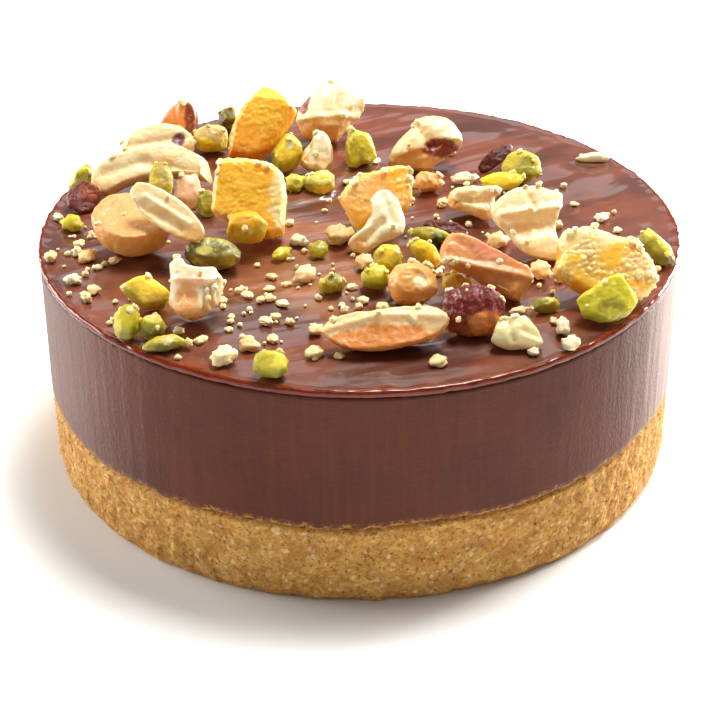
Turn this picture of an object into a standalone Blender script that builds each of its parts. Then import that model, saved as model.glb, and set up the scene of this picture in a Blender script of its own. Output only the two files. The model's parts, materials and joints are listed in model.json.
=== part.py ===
"""A small round chocolate tart, standing on its biscuit base.

Pressed biscuit crumb carries a thick layer of set chocolate cream, which carries a thin chocolate glaze.
Chopped nuts, candied peel and pistachio lie on the glaze as separate pieces, and the crumbs are stuck to it.
The origin is at the centre of the underside. X runs to the right, Y to the back and Z up.
Sizes are written in millimetres, and MM turns them into Blender's metres.
"""

import math
import random

import bmesh
import bpy
from mathutils import Euler, Matrix, Vector, noise
from mathutils.bvhtree import BVHTree

MM = 0.001

# The three layers, which a straight ring mould shapes
TART_RADIUS = 40.0
TART_HEIGHT = 29.0
BASE_HEIGHT = 10.3
GLAZE_EDGE = 1.1
LAYER_GAP = 0.3
# Inside this distance from the wall, the glaze is thicker by this depth and the cream is as much lower
DISH_INSET = 5.0
DISH_DEPTH = 0.9
FOOT_ROUNDING = 0.9
RIM_ROUNDING = 0.55

# How uneven the layers are
RIM_WAVE = 0.25
SEAM_TILT = 0.5
SEAM_WAVE = 0.25
CRUMB_RELIEF = 0.3
CRUMB_FREQUENCY = 9.0
CREAM_RELIEF = 0.06
CREAM_FREQUENCY = 14.0
SPREAD_DEPTH = 0.3
SPREAD_ANGLE = math.radians(27)
SPREAD_FADE = 6.0

# How finely the layers are cut into facets
BASE_SEGMENTS = 80
CREAM_SEGMENTS = 72
GLAZE_SEGMENTS = 72
GLAZE_RINGS = 9

# How full an oval piece is: 1 for a plain oval, less for squarer ends
FULLNESS = 0.86

# How the loose pieces lie
REST_GAP = 0.3
PIECE_GAP = 0.12
LIFT_STEP = 0.1
MOST_LIFTS = 60
CRUMB_SINK = 0.3
CRUMB_CLEAR = 0.2

# Colour and roughness of each food
LOOKS = {
    "biscuit": ((0.56, 0.32, 0.11), 0.85),
    "cream": ((0.13, 0.052, 0.030), 0.42),
    "glaze": ((0.075, 0.026, 0.014), 0.22),
    "pale_nut": ((0.78, 0.60, 0.32), 0.55),
    "roast_nut": ((0.62, 0.30, 0.09), 0.50),
    "brown_nut": ((0.42, 0.13, 0.03), 0.45),
    "peel": ((0.80, 0.42, 0.05), 0.40),
    "pistachio": ((0.45, 0.42, 0.04), 0.50),
    "olive_pistachio": ((0.20, 0.19, 0.03), 0.50),
    "nut_skin": ((0.10, 0.012, 0.008), 0.35),
    "red_nut": ((0.14, 0.02, 0.02), 0.40),
}

# The larger crumbs and chips stuck to the glaze: the place of each from above, its width and its depth
CRUMBS = (
    (-33, -9.5, 2.8, 1.9), (-37.5, -9, 1.6, 2.2), (-34, -15, 2, 2), (-32, -19.5, 1.2, 2),
    (-35.5, -8.5, 2.2, 1.8), (-18, -29.5, 2.1, 1.4), (-15, -34, 3.2, 1.9), (-12.5, -30.5, 2.4, 2.3),
    (-5, -27, 2.1, 1.6), (-5, -33, 2.2, 1.8), (-3.6, -32, 1.9, 2), (-6.5, -15, 3.3, 2.1),
    (0.5, -11.5, 2.8, 2.3), (-2.5, -4.5, 3.5, 2.8), (-9.5, -8, 2.9, 1.7), (-5, -8, 2.9, 2.4),
    (-7.5, -5, 2.2, 2), (-8.5, 10.5, 2.7, 3), (14, 12, 3.2, 1.8), (15, -3, 3, 1.5),
    (17, -6.5, 3.2, 2.4), (21.5, -14, 2.9, 2.5), (30.5, 0.5, 2, 1.4), (18.5, -23, 2.2, 1.2),
    (23, -28, 3.2, 1.6), (23.6, -31.4, 2.2, 1.9), (8.5, -34.5, 1.7, 2.2), (-36, 0, 2.6, 2.4),
)
# Where smaller crumbs are strewn: the middle of each patch, how far they spread, and how many
CRUMB_PATCHES = (
    (-34, -12, 4, 7),
    (-22, -27, 5, 8),
    (-12, -28, 5, 9),
    (-9, -18, 5, 7),
    (0, -15, 5, 7),
    (9, 8, 6, 6),
    (16, -24, 6, 7),
    (27, -24, 5, 6),
    (32, 2, 5, 5),
    (0, 0, 26, 10),
)
SMALL_CRUMB = (1.0, 1.7)

# Shapes from the underside up, as (share of the outline, share of the thickness) for each ring
SLAB = ((0.86, 0.0), (1.0, 0.22), (1.0, 0.78), (0.86, 1.0))
PEBBLE = ((0.55, 0.0), (0.93, 0.28), (0.97, 0.64), (0.6, 0.95))
BOWL = ((0.5, 0.0), (0.86, 0.3), (1.0, 0.8), (0.95, 1.0))
GRAIN = ((0.7, 0.0), (1.0, 0.45), (0.62, 0.95))
SHEET = ((0.92, 0.0), (1.0, 0.5), (0.92, 1.0))


def clear_scene():
    for old in list(bpy.data.objects):
        bpy.data.objects.remove(old, do_unlink=True)


def material(look):
    """The food's own material, made once and shared."""
    made = bpy.data.materials.get(look)
    if made:
        return made
    colour, roughness = LOOKS[look]
    made = bpy.data.materials.new(look)
    made.use_nodes = True
    shader = made.node_tree.nodes["Principled BSDF"]
    shader.inputs["Base Color"].default_value = (*colour, 1.0)
    shader.inputs["Roughness"].default_value = roughness
    shader.inputs["Metallic"].default_value = 0.0
    return made


def object_from(bm, name, look):
    """The finished bmesh as a named object, with its faces turned out and its size in metres."""
    bmesh.ops.recalc_face_normals(bm, faces=bm.faces)
    bmesh.ops.scale(bm, vec=(MM, MM, MM), verts=bm.verts)
    mesh = bpy.data.meshes.new(name)
    bm.to_mesh(mesh)
    bm.free()
    mesh.materials.append(material(look))
    mesh.shade_smooth()
    mesh.set_sharp_from_angle(angle=math.radians(40))
    made = bpy.data.objects.new(name, mesh)
    bpy.context.scene.collection.objects.link(made)
    return made


def ramp(value, low, high):
    """0 below low, 1 above high, and smooth between them."""
    share = min(1.0, max(0.0, (value - low) / (high - low)))
    return share * share * (3 - 2 * share)


def rim_height(angle):
    """The top of the rim dips and rises a little along the front."""
    front = (1 - math.sin(angle)) / 2
    return TART_HEIGHT - RIM_WAVE * front * math.cos(3 * angle + 4.3)


def seam_height(angle):
    """Where the crumb stops and the cream starts: lower at the front left than at the right."""
    tilt = SEAM_TILT * math.cos(angle - math.radians(325))
    wave = 0.6 * math.sin(9 * angle + 1.0) + 0.4 * math.sin(14 * angle + 2.2)
    return BASE_HEIGHT + tilt + SEAM_WAVE * wave


def spread(x, y):
    """Height of the long soft ridges that a palette knife left in the glaze."""
    along = x * math.cos(SPREAD_ANGLE) + y * math.sin(SPREAD_ANGLE)
    across = y * math.cos(SPREAD_ANGLE) - x * math.sin(SPREAD_ANGLE)
    bent = across + 2.2 * math.sin(along * 0.075 + 0.6)
    wide = math.sin(bent * 0.36 + 0.4)
    narrow = 0.45 * math.sin(bent * 0.83 + along * 0.05 + 2.0)
    return SPREAD_DEPTH * (wide + narrow)


def glaze_height(x, y):
    """Height of the glaze, which settles level towards the rim."""
    radius = math.hypot(x, y)
    fade = 1 - ramp(radius, TART_RADIUS - SPREAD_FADE - 3, TART_RADIUS - 1.5)
    outward = ramp(radius, 6, TART_RADIUS)
    level = rim_height(math.atan2(y, x)) * outward + TART_HEIGHT * (1 - outward)
    return level + spread(x, y) * fade


def turned(name, look, profile, segments):
    """A round solid: profile(angle) gives its (radius, height) pairs, from the underside's middle up."""
    bm = bmesh.new()
    angles = [2 * math.pi * step / segments for step in range(segments)]
    columns = [profile(angle) for angle in angles]
    foot = bm.verts.new((0, 0, columns[0][0][1]))
    head = bm.verts.new((0, 0, columns[0][-1][1]))
    rings = [
        [
            bm.verts.new((column[row][0] * math.cos(angle), column[row][0] * math.sin(angle), column[row][1]))
            for angle, column in zip(angles, columns)
        ]
        for row in range(1, len(columns[0]) - 1)
    ]
    for step in range(segments):
        after = (step + 1) % segments
        bm.faces.new((foot, rings[0][after], rings[0][step]))
        bm.faces.new((head, rings[-1][step], rings[-1][after]))
        for low, high in zip(rings, rings[1:]):
            bm.faces.new((low[step], low[after], high[after], high[step]))
    return object_from(bm, name, look)


def biscuit_base():
    """Pressed crumb: a granular wall, a ragged foot and a flat underside."""
    side_rows = 6

    def crag(angle, height):
        around = Vector((math.cos(angle), math.sin(angle), height / TART_RADIUS)) * CRUMB_FREQUENCY
        return CRUMB_RELIEF * (noise.noise(around) + 0.5 * noise.noise(around * 2.3))

    def profile(angle):
        top = seam_height(angle) - LAYER_GAP / 2
        low = FOOT_ROUNDING * 0.4
        points = [(0, 0), (TART_RADIUS - 0.8 - 0.5 * FOOT_ROUNDING, 0)]
        for row in range(side_rows):
            height = low + (top - 0.3 - low) * row / (side_rows - 1)
            foot = 0.5 * FOOT_ROUNDING * (1 - ramp(height, 0, FOOT_ROUNDING * 1.6))
            points.append((TART_RADIUS - 0.1 - foot + crag(angle, height), height))
        points += [(TART_RADIUS - 0.7, top), (0, BASE_HEIGHT - LAYER_GAP / 2)]
        return points

    return turned("biscuit_base", "biscuit", profile, BASE_SEGMENTS)


def chocolate_cream():
    """The thick set layer, straight sided, with the faint flutes that the mould's liner left."""
    inner_top = TART_HEIGHT - GLAZE_EDGE - DISH_DEPTH

    def flute(angle, height):
        around = Vector((math.cos(angle) * CREAM_FREQUENCY, math.sin(angle) * CREAM_FREQUENCY, height * 0.12))
        return CREAM_RELIEF * noise.noise(around)

    def profile(angle):
        low = seam_height(angle) + LAYER_GAP / 2
        top = rim_height(angle) - GLAZE_EDGE - LAYER_GAP
        points = [(0, BASE_HEIGHT + LAYER_GAP / 2), (TART_RADIUS - 0.4, low)]
        for share in (0.03, 0.5, 1.0):
            height = low + (top - low) * share
            points.append((TART_RADIUS + flute(angle, height), height))
        points += [(TART_RADIUS - DISH_INSET, inner_top), (0, inner_top)]
        return points

    return turned("chocolate_cream", "cream", profile, CREAM_SEGMENTS)


def chocolate_glaze():
    """The thin glossy layer: spread in ridges on top, rounded over at the rim."""
    inner_under = TART_HEIGHT - GLAZE_EDGE - DISH_DEPTH + LAYER_GAP

    def profile(angle):
        rim = rim_height(angle)
        under = rim - GLAZE_EDGE
        points = [(0, inner_under), (TART_RADIUS - DISH_INSET - 0.2, inner_under)]
        points += [(TART_RADIUS - 0.25, under), (TART_RADIUS + 0.05, under + 0.35)]
        points += [(TART_RADIUS - 0.05, rim - 0.3), (TART_RADIUS - RIM_ROUNDING, rim)]
        for ring in range(GLAZE_RINGS):
            radius = (TART_RADIUS - 2.0) * (1 - ring / GLAZE_RINGS)
            points.append((radius, glaze_height(radius * math.cos(angle), radius * math.sin(angle))))
        points.append((0, glaze_height(0, 0)))
        return points

    return turned("chocolate_glaze", "glaze", profile, GLAZE_SEGMENTS)


def oval(length, width, points=10, pointed=0.0, skew=0.0):
    """Plan of a nut: pointed draws its ends in, and skew makes its right end the fatter."""
    plan = []
    for step in range(points):
        angle = 2 * math.pi * (step + 0.5) / points
        x, y = (math.copysign(abs(share) ** FULLNESS, share) for share in (math.cos(angle), math.sin(angle)))
        waist = 1 - pointed * x * x
        plan.append((x * length / 2, y * width / 2 * waist * (1 + skew * x)))
    return plan


def lofted(plan, thick, profile, rough, rng):
    """A closed bmesh whose rings follow the plan, each of its points moved a little at random."""
    count = len(plan)
    middle_x = sum(x for x, _ in plan) / count
    middle_y = sum(y for _, y in plan) / count
    reach = max(math.hypot(x - middle_x, y - middle_y) for x, y in plan)
    bump = rough * min(reach, thick)
    bm = bmesh.new()
    rings = []
    for share, level in profile:
        ring = []
        for x, y in plan:
            across, along = (x - middle_x) * share, (y - middle_y) * share
            point = Vector((middle_x + across, middle_y + along, level * thick))
            point += Vector([rng.uniform(-bump, bump) for _ in range(3)])
            ring.append(bm.verts.new(point))
        rings.append(ring)
    swell = 0.06 * thick
    foot = bm.verts.new((middle_x, middle_y, -swell))
    head = bm.verts.new((middle_x, middle_y, thick * profile[-1][1] + swell))
    for step in range(count):
        after = (step + 1) % count
        bm.faces.new((foot, rings[0][after], rings[0][step]))
        bm.faces.new((head, rings[-1][step], rings[-1][after]))
        for low, high in zip(rings, rings[1:]):
            bm.faces.new((low[step], low[after], high[after], high[step]))
    bmesh.ops.translate(bm, vec=(0, 0, -thick / 2), verts=bm.verts)
    return bm


def crumb(x, y, width, depth, rng):
    """A small rough grain, sunk a little into the glaze."""
    bm = bmesh.new()
    bmesh.ops.create_icosphere(bm, subdivisions=1, radius=0.5)
    tall = 0.5 * (width + depth) * rng.uniform(0.85, 1.05)
    turn = Matrix.Rotation(rng.uniform(0, math.pi), 3, "Z") @ Matrix.Rotation(rng.uniform(0, math.pi), 3, "X")
    for vert in bm.verts:
        vert.co = (turn @ vert.co) * rng.uniform(0.88, 1.12)
        vert.co.x *= width
        vert.co.y *= depth
        vert.co.z *= tall
    bmesh.ops.translate(bm, vec=(x, y, glaze_height(x, y) + tall / 2 - CRUMB_SINK), verts=bm.verts)
    return bm


def fuse(body, pieces):
    """The body and its pieces as one solid: a Boolean union on their collection, applied."""
    union = body.modifiers.new("crumbs", "BOOLEAN")
    union.operation = "UNION"
    union.operand_type = "COLLECTION"
    union.collection = pieces
    union.solver = "MANIFOLD"
    graph = bpy.context.evaluated_depsgraph_get()
    body.data = bpy.data.meshes.new_from_object(body.evaluated_get(graph))
    body.modifiers.remove(union)
    for piece in list(pieces.objects):
        bpy.data.objects.remove(piece, do_unlink=True)
    bpy.data.collections.remove(pieces)


class Topping:
    """Lays loose pieces on the glaze one after another, so that each clears the ones laid before it."""

    def __init__(self):
        self.laid = []

    def lay(
        self, name, look, at, plan, thick, profile=SLAB, spin=0, pitch=55, roll=0, arc=0, bend=0, rough=0.05
    ):
        """Lays one piece. Angles are in degrees: spin turns the plan, pitch tips its face to the front and
        roll tips it to the right. Arc lowers the plan's two ends, and bend curls them under."""
        rng = random.Random(name)
        bm = lofted(plan, thick, profile, rough, rng)
        reach = max(abs(x) for x, _ in plan)
        for vert in bm.verts:
            share = (vert.co.x / reach) ** 2
            vert.co.y -= arc * share
            vert.co.z -= bend * share
        spun = Matrix.Rotation(math.radians(spin), 3, "Z")
        tipped = Euler((math.radians(pitch), math.radians(roll), 0)).to_matrix()
        bmesh.ops.transform(bm, matrix=(tipped @ spun).to_4x4(), verts=bm.verts)
        bmesh.ops.translate(bm, vec=(at[0], at[1], 0), verts=bm.verts)
        sink = min(vert.co.z - glaze_height(vert.co.x, vert.co.y) for vert in bm.verts)
        bmesh.ops.translate(bm, vec=(0, 0, REST_GAP - sink), verts=bm.verts)
        lifts = 0
        while lifts < MOST_LIFTS and self.meets(bm):
            bmesh.ops.translate(bm, vec=(0, 0, LIFT_STEP), verts=bm.verts)
            lifts += 1
        if lifts:
            bmesh.ops.translate(bm, vec=(0, 0, PIECE_GAP), verts=bm.verts)
        self.laid.append(BVHTree.FromBMesh(bm))
        object_from(bm, name, look)

    def meets(self, bm):
        own = BVHTree.FromBMesh(bm)
        return any(own.overlap(other) for other in self.laid)

    def near(self, bm):
        """Whether the grain comes within CRUMB_CLEAR of a laid piece."""
        wide = bm.copy()
        middle = sum((vert.co for vert in wide.verts), Vector()) / len(wide.verts)
        for vert in wide.verts:
            vert.co += (vert.co - middle).normalized() * CRUMB_CLEAR
        met = self.meets(wide)
        wide.free()
        return met


def lay_nuts(top):
    """Blanched, roasted and skinned nuts: halves, slices and chopped pieces."""
    long_slice = [
        (-8, 0.9), (-7.2, 1.9), (-4, 2.2), (0, 2.2), (4, 2.1), (7, 1.7), (8, 0.6), (8.1, -0.6),
        (7.4, -1.3), (4, -1.7), (0, -1.9), (-4, -2.2), (-7, -2.5), (-8, -1.2),
    ]
    slab = [
        (-5, -0.5), (-4.2, 0.6), (-2.3, 1.8), (0.2, 2.7), (2, 2.4), (4.4, 2), (5, 0), (4.6, -1.7),
        (1, -2.3), (-3, -2.2), (-4.7, -1.6),
    ]
    chip = [
        (-2.9, -1), (-1.2, 1.6), (0, 2.6), (1, 2.9), (1.8, 2.3), (2.5, 0.8), (2.4, -2), (1.4, -2.9),
        (-1.5, -2.9),
    ]
    cut_block = [
        (-2.9, 2.5), (-2.3, 3.3), (-1.5, 3), (-1.1, 2.2), (2, 2), (2.7, 1.4), (2.9, 0.6), (2.7, -0.8),
        (2.3, -2), (0.8, -3.2), (-0.5, -3.5), (-2.1, -3), (-2.9, -1.8), (-2.7, -0.2),
    ]
    back = [
        (-4.7, -1), (-4.2, 0.4), (-3.1, 1.8), (-1.7, 3.5), (0, 4.1), (2.1, 4.2), (3.7, 3.7), (4.8, 2.3),
        (4.6, 0.8), (3.7, -0.5), (2.6, -1.7), (2, -2.9), (0.7, -4.1), (-2, -4.2), (-3.8, -3.7),
    ]
    shard = [
        (0.2, 2.9), (1, 2.6), (1.7, 1), (1.9, -0.9), (1.3, -2.6), (-1, -2.4), (-2.6, -1.2), (-2.1, 0.4),
        (-1, 1.5),
    ]
    hooked = [
        (-0.9, 3), (0.1, 3.9), (1.4, 4), (2.4, 3.2), (3.1, 1.7), (3.5, 0.1), (3.1, -1.4), (1.9, -2.2),
        (0.4, -2.4), (-0.6, -3.2), (-1.7, -3.9), (-3, -3.6), (-3.6, -2.6), (-3.1, -1.7), (-1.9, -0.8),
        (-0.8, 0.9),
    ]
    arch = [
        (-5.1, -2.9), (-4.6, -1.1), (-3.6, 0.5), (-2.3, 1.6), (-1.2, 3), (0.4, 3.7), (2, 3.5), (3.4, 3),
        (4.5, 1.6), (5, 0), (4.4, -0.9), (3.1, -1.5), (1.8, -2.4), (0.7, -3.5), (-0.9, -3.8), (-3, -3.5),
    ]
    stub = [
        (-3.9, 0), (-3.4, 1.3), (-2.4, 2.2), (-0.5, 2.6), (1.4, 2.5), (3.9, 2.1), (2.7, 0.8),
        (2.4, -1.2), (1.9, -2.4), (0.5, -1.9), (-0.8, -1), (-2.4, -0.7),
    ]
    flake = [
        (-4.2, 2.4), (-1.8, 4.2), (1, 4.5), (4.2, 3.5), (3.9, 1.5), (3, -0.4), (3.3, -2), (4.4, -3.8),
        (3.5, -4.5), (0.3, -4.1), (-1, -3), (-2, -1.7), (-3.2, -0.5), (-4.2, 0.6),
    ]
    wedge = [
        (-5.4, 2.4), (-4.4, 3.5), (-3.4, 3.9), (-1.9, 3.7), (-0.2, 2.9), (1.4, 2.1), (3.2, 1.1),
        (5, 0.1), (5.4, -0.6), (4.6, -2.3), (3.7, -3.6), (2.4, -3.7), (1, -2.9), (-0.6, -1.6),
        (-2.3, -0.5), (-4.9, 0.6),
    ]
    front_half = [
        (-7, -0.3), (-6.1, 0.8), (-4.4, 1.6), (-2.1, 2), (1.2, 2.4), (4.6, 2.6), (6.3, 2.1), (7, 1),
        (6.3, -0.5), (5.2, -1.2), (3.5, -1.8), (1.2, -2.2), (-1.6, -2.5), (-3.8, -2.4), (-5.5, -1.7),
    ]
    broken = [
        (4.7, -1.4), (4.1, -3), (2.7, -4.3), (0.9, -5), (-0.9, -5), (-2.7, -4.3), (-4.1, -3),
        (-4.9, -1.2), (-4.9, 0.9), (-4.1, 3), (-2.7, 4.3), (-0.6, 5), (0.8, 4.3), (1.2, 2.4), (1.9, 0.8),
        (3.1, -0.5),
    ]
    grained = [
        (-2.9, -0.8), (-2.5, 0.8), (-1.8, 1.6), (0, 2), (1.5, 1.9), (2.2, 0.7), (2.8, -0.7), (3, -1.3),
        (1.6, -1.8), (-0.1, -2), (-1.8, -1.7),
    ]
    top.lay("hazelnut_half", "roast_nut", (-27.6, -6.7), broken, 4.4, BOWL, pitch=7, roll=3, rough=0.03)
    top.lay("almond_slice_long", "pale_nut", (-26.5, 10.7), long_slice, 2.8, spin=5, pitch=45, arc=2.2)
    small_half = oval(10.4, 4.2, 12, 0.1)
    top.lay("peanut_half_small", "pale_nut", (-23, -9.4), small_half, 2.2, BOWL, spin=-37, pitch=50)
    top.lay("almond_slab_back", "pale_nut", (-27.3, 21.3), slab, 2.6, pitch=40)
    top.lay("almond_chip_brown", "brown_nut", (-24.6, 27), chip, 2.8, pitch=60)
    top.lay("nut_block_cut", "pale_nut", (-18.5, -24.7), cut_block, 4.6, pitch=50)
    top.lay("nut_pink", "pale_nut", (-22, 6.8), oval(3.9, 4.9, 8), 1.8, PEBBLE, pitch=50)
    top.lay("hazelnut_back", "pale_nut", (-3.8, 27.5), back, 6, PEBBLE, pitch=50)
    top.lay("nut_shard", "pale_nut", (-5.2, 16.2), shard, 2.8, pitch=55)
    top.lay("nut_hooked", "pale_nut", (2.3, -5), hooked, 2.6, PEBBLE, pitch=50)
    top.lay("nut_arch", "pale_nut", (9.1, 18), arch, 4.4, PEBBLE, pitch=50)
    top.lay("nut_ball_small", "pale_nut", (9, 9), oval(3.4, 3, 8), 2.8, PEBBLE, pitch=30)
    top.lay("nut_stub", "pale_nut", (14.6, 1.9), stub, 3.4, PEBBLE, pitch=45)
    top.lay("nut_flake", "pale_nut", (20.5, -8.4), flake, 2, pitch=50, bend=0.5)
    top.lay("almond_sliver", "pale_nut", (31.5, 19), oval(5.2, 1.7, 8, 0.3), 1.2, GRAIN, pitch=8)
    top.lay("almond_wedge", "roast_nut", (14.8, -18.6), wedge, 3.6, pitch=50)
    top.lay("hazelnut_red", "red_nut", (12.7, -28.1), oval(7.4, 6, 12), 3.6, PEBBLE, pitch=60, rough=0.06)
    top.lay("nut_ball", "roast_nut", (6.2, -19.6), oval(6.1, 5.2, 10), 3.8, PEBBLE, pitch=45)
    top.lay("peanut_half_front", "roast_nut", (2.7, -30.9), front_half, 3.2, BOWL, pitch=42)
    top.lay("nut_grained", "pale_nut", (17.5, -31), grained, 2.2, PEBBLE, pitch=60)


def lay_peel(top):
    """Candied peel in thick diced pieces."""
    back = [
        (-4.5, -4.3), (-4, -1.4), (-3.4, 0.4), (-2.7, 1.8), (-0.9, 3.6), (0, 4.6), (1, 4.8), (2.3, 3.9),
        (3.7, 2.9), (4.5, 1.6), (4.2, 0.4), (2.2, -2.3), (1, -3.8), (-0.1, -4.9), (-2.4, -4.8),
    ]
    left = [
        (-4.5, -2.2), (-4.5, 0), (-4.4, 1.8), (-4, 4.2), (-2.5, 4.6), (0, 4.8), (1.6, 4.5), (3.2, 3.8),
        (4.3, 2.6), (4.5, 0.4), (4.2, -3.8), (3.2, -4.7), (1.6, -4.2), (-0.5, -3.2), (-2.6, -2.6),
    ]
    centre = [
        (-4.5, 0), (-3.9, 1.1), (-2.7, 2.2), (-1.4, 3), (0.3, 3.2), (1.5, 3.8), (3, 3.9), (4, 3.4),
        (4.3, 2.2), (4, -1), (2, -3), (-0.5, -4), (-2.3, -4.1), (-3.4, -2.8),
    ]
    right = [
        (-5.7, -0.8), (-4.9, 1), (-5.2, 3), (-4.6, 4), (-2.9, 4.3), (-1.6, 4.5), (1, 3.3), (2.5, 3.1),
        (3.9, 2.4), (4.9, 1.2), (5.8, -0.4), (5.8, -1.9), (4.9, -3.1), (3.3, -4.2), (-0.5, -4.2),
        (-3.2, -2.7),
    ]
    top.lay("peel_back", "peel", (-12.9, 20.3), back, 4.6, pitch=55)
    top.lay("peel_left", "peel", (-13.5, -2.6), left, 4.2, spin=-4, pitch=55)
    top.lay("peel_centre", "peel", (2.3, -0.4), centre, 2.3, pitch=55)
    top.lay("peel_right", "peel", (28.4, -19.6), right, 3.6, pitch=50)


def lay_pistachio(top):
    """Green pistachio: whole kernels, halves and chips."""
    pointed = [
        (-3, 0.4), (-2, 1.1), (-0.7, 1.9), (0.2, 1.9), (1.1, 1.2), (3, -0.4), (2.8, -1.3), (1.7, -1.9),
        (0, -1.9), (-0.9, -1.2), (-2.3, -0.4),
    ]
    leaf = [
        (-3.4, -0.2), (-2.3, 0.7), (-0.9, 1.4), (0.2, 2.2), (1.4, 2.8), (2.6, 2.6), (2.9, 1),
        (3.5, -0.3), (2.9, -1.6), (1.4, -2.4), (-0.3, -2.9), (-2.1, -2.6), (-2.9, -1.6),
    ]
    upright = [
        (-1.5, 2.4), (-0.7, 2.7), (1.3, 2), (2.1, -1), (1.4, -2), (0, -1.9), (-0.6, -2.6), (-1.8, -2.4),
        (-2, 0.8),
    ]
    top.lay(
        "pistachio_left_rim", "pistachio", (-36.2, 10.7), oval(3, 4.2, 8, 0.2), 2.4, GRAIN, spin=-35, pitch=50
    )
    top.lay(
        "pistachio_olive", "olive_pistachio", (-17.4, -11.4), oval(7.8, 4.3, 10, 0.1), 3.8, PEBBLE,
        spin=-6, pitch=40,
    )
    top.lay("pistachio_pointed", "pistachio", (-24.6, -22.2), pointed, 2.8, pitch=40)
    top.lay("pistachio_front_a", "pistachio", (-26.3, -28.4), oval(3.3, 4.3, 8), 3, GRAIN, pitch=45)
    top.lay("pistachio_front_b", "olive_pistachio", (-23.3, -29), oval(3, 3.2, 8), 2.6, GRAIN, pitch=40)
    top.lay(
        "pistachio_front_c", "pistachio", (-21.7, -31.3), oval(5.4, 2.1, 8), 1.5, GRAIN, spin=10, pitch=20
    )
    top.lay("pistachio_under_slice", "pistachio", (-25.3, 6.5), oval(3.5, 6, 8), 1.6, GRAIN, pitch=40)
    top.lay("pistachio_shaded", "olive_pistachio", (-19.4, 4.3), oval(2.8, 4.2, 8), 2.2, GRAIN, pitch=40)
    top.lay("pistachio_back_left", "pistachio", (-20.1, 23.4), oval(5.1, 4.4, 8), 2.8, GRAIN, pitch=40)
    top.lay("pistachio_back_dark", "olive_pistachio", (-18, 30.5), oval(3.4, 3.2, 8), 2.6, GRAIN, pitch=40)
    top.lay("pistachio_under_peel", "pistachio", (-13.6, -7.6), oval(6, 4.2, 10), 1.8, GRAIN, pitch=50)
    top.lay(
        "pistachio_by_peel", "pistachio", (-9.5, 16.5), oval(4.2, 5.6, 10, 0.1), 3, GRAIN, spin=-30, pitch=55
    )
    top.lay("pistachio_centre_back", "pistachio", (-5, 10.1), oval(4.1, 4.1, 8), 2.4, GRAIN, pitch=35)
    top.lay("pistachio_upright", "pistachio", (0.3, 17.7), upright, 3, pitch=60)
    top.lay("pistachio_middle_upper", "pistachio", (3.4, -13), oval(3.6, 3.8, 8), 2.8, GRAIN, pitch=50)
    top.lay("pistachio_middle_lower", "olive_pistachio", (2, -17.5), oval(3.8, 3.2, 8), 2.6, GRAIN, pitch=40)
    top.lay(
        "pistachio_bright", "pistachio", (8, -11.4), oval(4.6, 3.2, 8, 0.2), 2.6, GRAIN, spin=-40, pitch=50
    )
    top.lay(
        "pistachio_strip", "olive_pistachio", (9.2, -5.3), oval(6, 2.4, 8, 0.2), 2, GRAIN, spin=-8, pitch=40
    )
    top.lay(
        "pistachio_gold", "pistachio", (11.6, -18.6), oval(4.5, 3.5, 8, 0.1), 1.6, GRAIN, spin=-25, pitch=40
    )
    top.lay("pistachio_small_round", "pistachio", (-3.2, -18.5), oval(3.4, 2.4, 8), 2, GRAIN, pitch=30)
    top.lay("pistachio_rim_front", "pistachio", (-9.8, -37), oval(4.3, 3.3, 8), 2.6, GRAIN, pitch=40)
    top.lay("pistachio_dark_front", "olive_pistachio", (21.4, -23.3), oval(3.6, 2, 8), 1.8, GRAIN, pitch=30)
    top.lay("pistachio_leaf", "pistachio", (28.1, -24.8), leaf, 2.2, pitch=50)
    top.lay(
        "pistachio_right_rim", "pistachio", (35.7, -11), oval(6.6, 3.3, 8, 0.2), 2.4, GRAIN,
        spin=-48, pitch=50,
    )
    top.lay("pistachio_right_back", "olive_pistachio", (21.3, 12.6), oval(5.8, 5, 8), 1.8, GRAIN, pitch=50)
    top.lay(
        "pistachio_right_bright", "pistachio", (18.6, 9.9), oval(6.4, 3, 8, 0.2), 1.6, GRAIN, spin=5, pitch=45
    )


def lay_skins(top):
    """Thin curled flakes of dark nut skin."""
    top.lay(
        "skin_left_rim", "nut_skin", (-35.3, 5.3), oval(4.6, 4.8, 8, 0.3), 0.8, SHEET,
        spin=-30, pitch=40, bend=0.8,
    )
    top.lay(
        "skin_curl", "nut_skin", (18.3, 16.5), oval(6, 2.4, 8, 0.3), 0.7, SHEET, spin=38, pitch=50, bend=0.7
    )
    top.lay(
        "skin_centre", "nut_skin", (10.9, -2.4), oval(6, 2, 8, 0.3), 0.7, SHEET, spin=-14, pitch=40, bend=0.6
    )


def strewn(rng):
    """Small crumbs in their patches: the place of each from above, its width and its depth."""
    for x, y, spread_out, count in CRUMB_PATCHES:
        for _ in range(count):
            place = (rng.gauss(x, spread_out), rng.gauss(y, spread_out))
            size = [rng.uniform(*SMALL_CRUMB) for _ in range(2)]
            if math.hypot(*place) < TART_RADIUS - 1.5:
                yield (*place, *size)


def stick_crumbs(glaze, top):
    """Fuses to the glaze each crumb that no larger piece covers."""
    rng = random.Random("crumbs")
    grains = bpy.data.collections.new("grains")
    bpy.context.scene.collection.children.link(grains)
    places = []
    for x, y, width, depth in (*CRUMBS, *strewn(rng)):
        reach = max(width, depth) / 2
        if any(math.hypot(x - other_x, y - other_y) < reach + other for other_x, other_y, other in places):
            continue
        bm = crumb(x, y, width, depth, rng)
        if top.near(bm):
            bm.free()
            continue
        places.append((x, y, reach))
        made = object_from(bm, f"grain_{len(places)}", "pale_nut")
        bpy.context.scene.collection.objects.unlink(made)
        grains.objects.link(made)
    fuse(glaze, grains)


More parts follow.
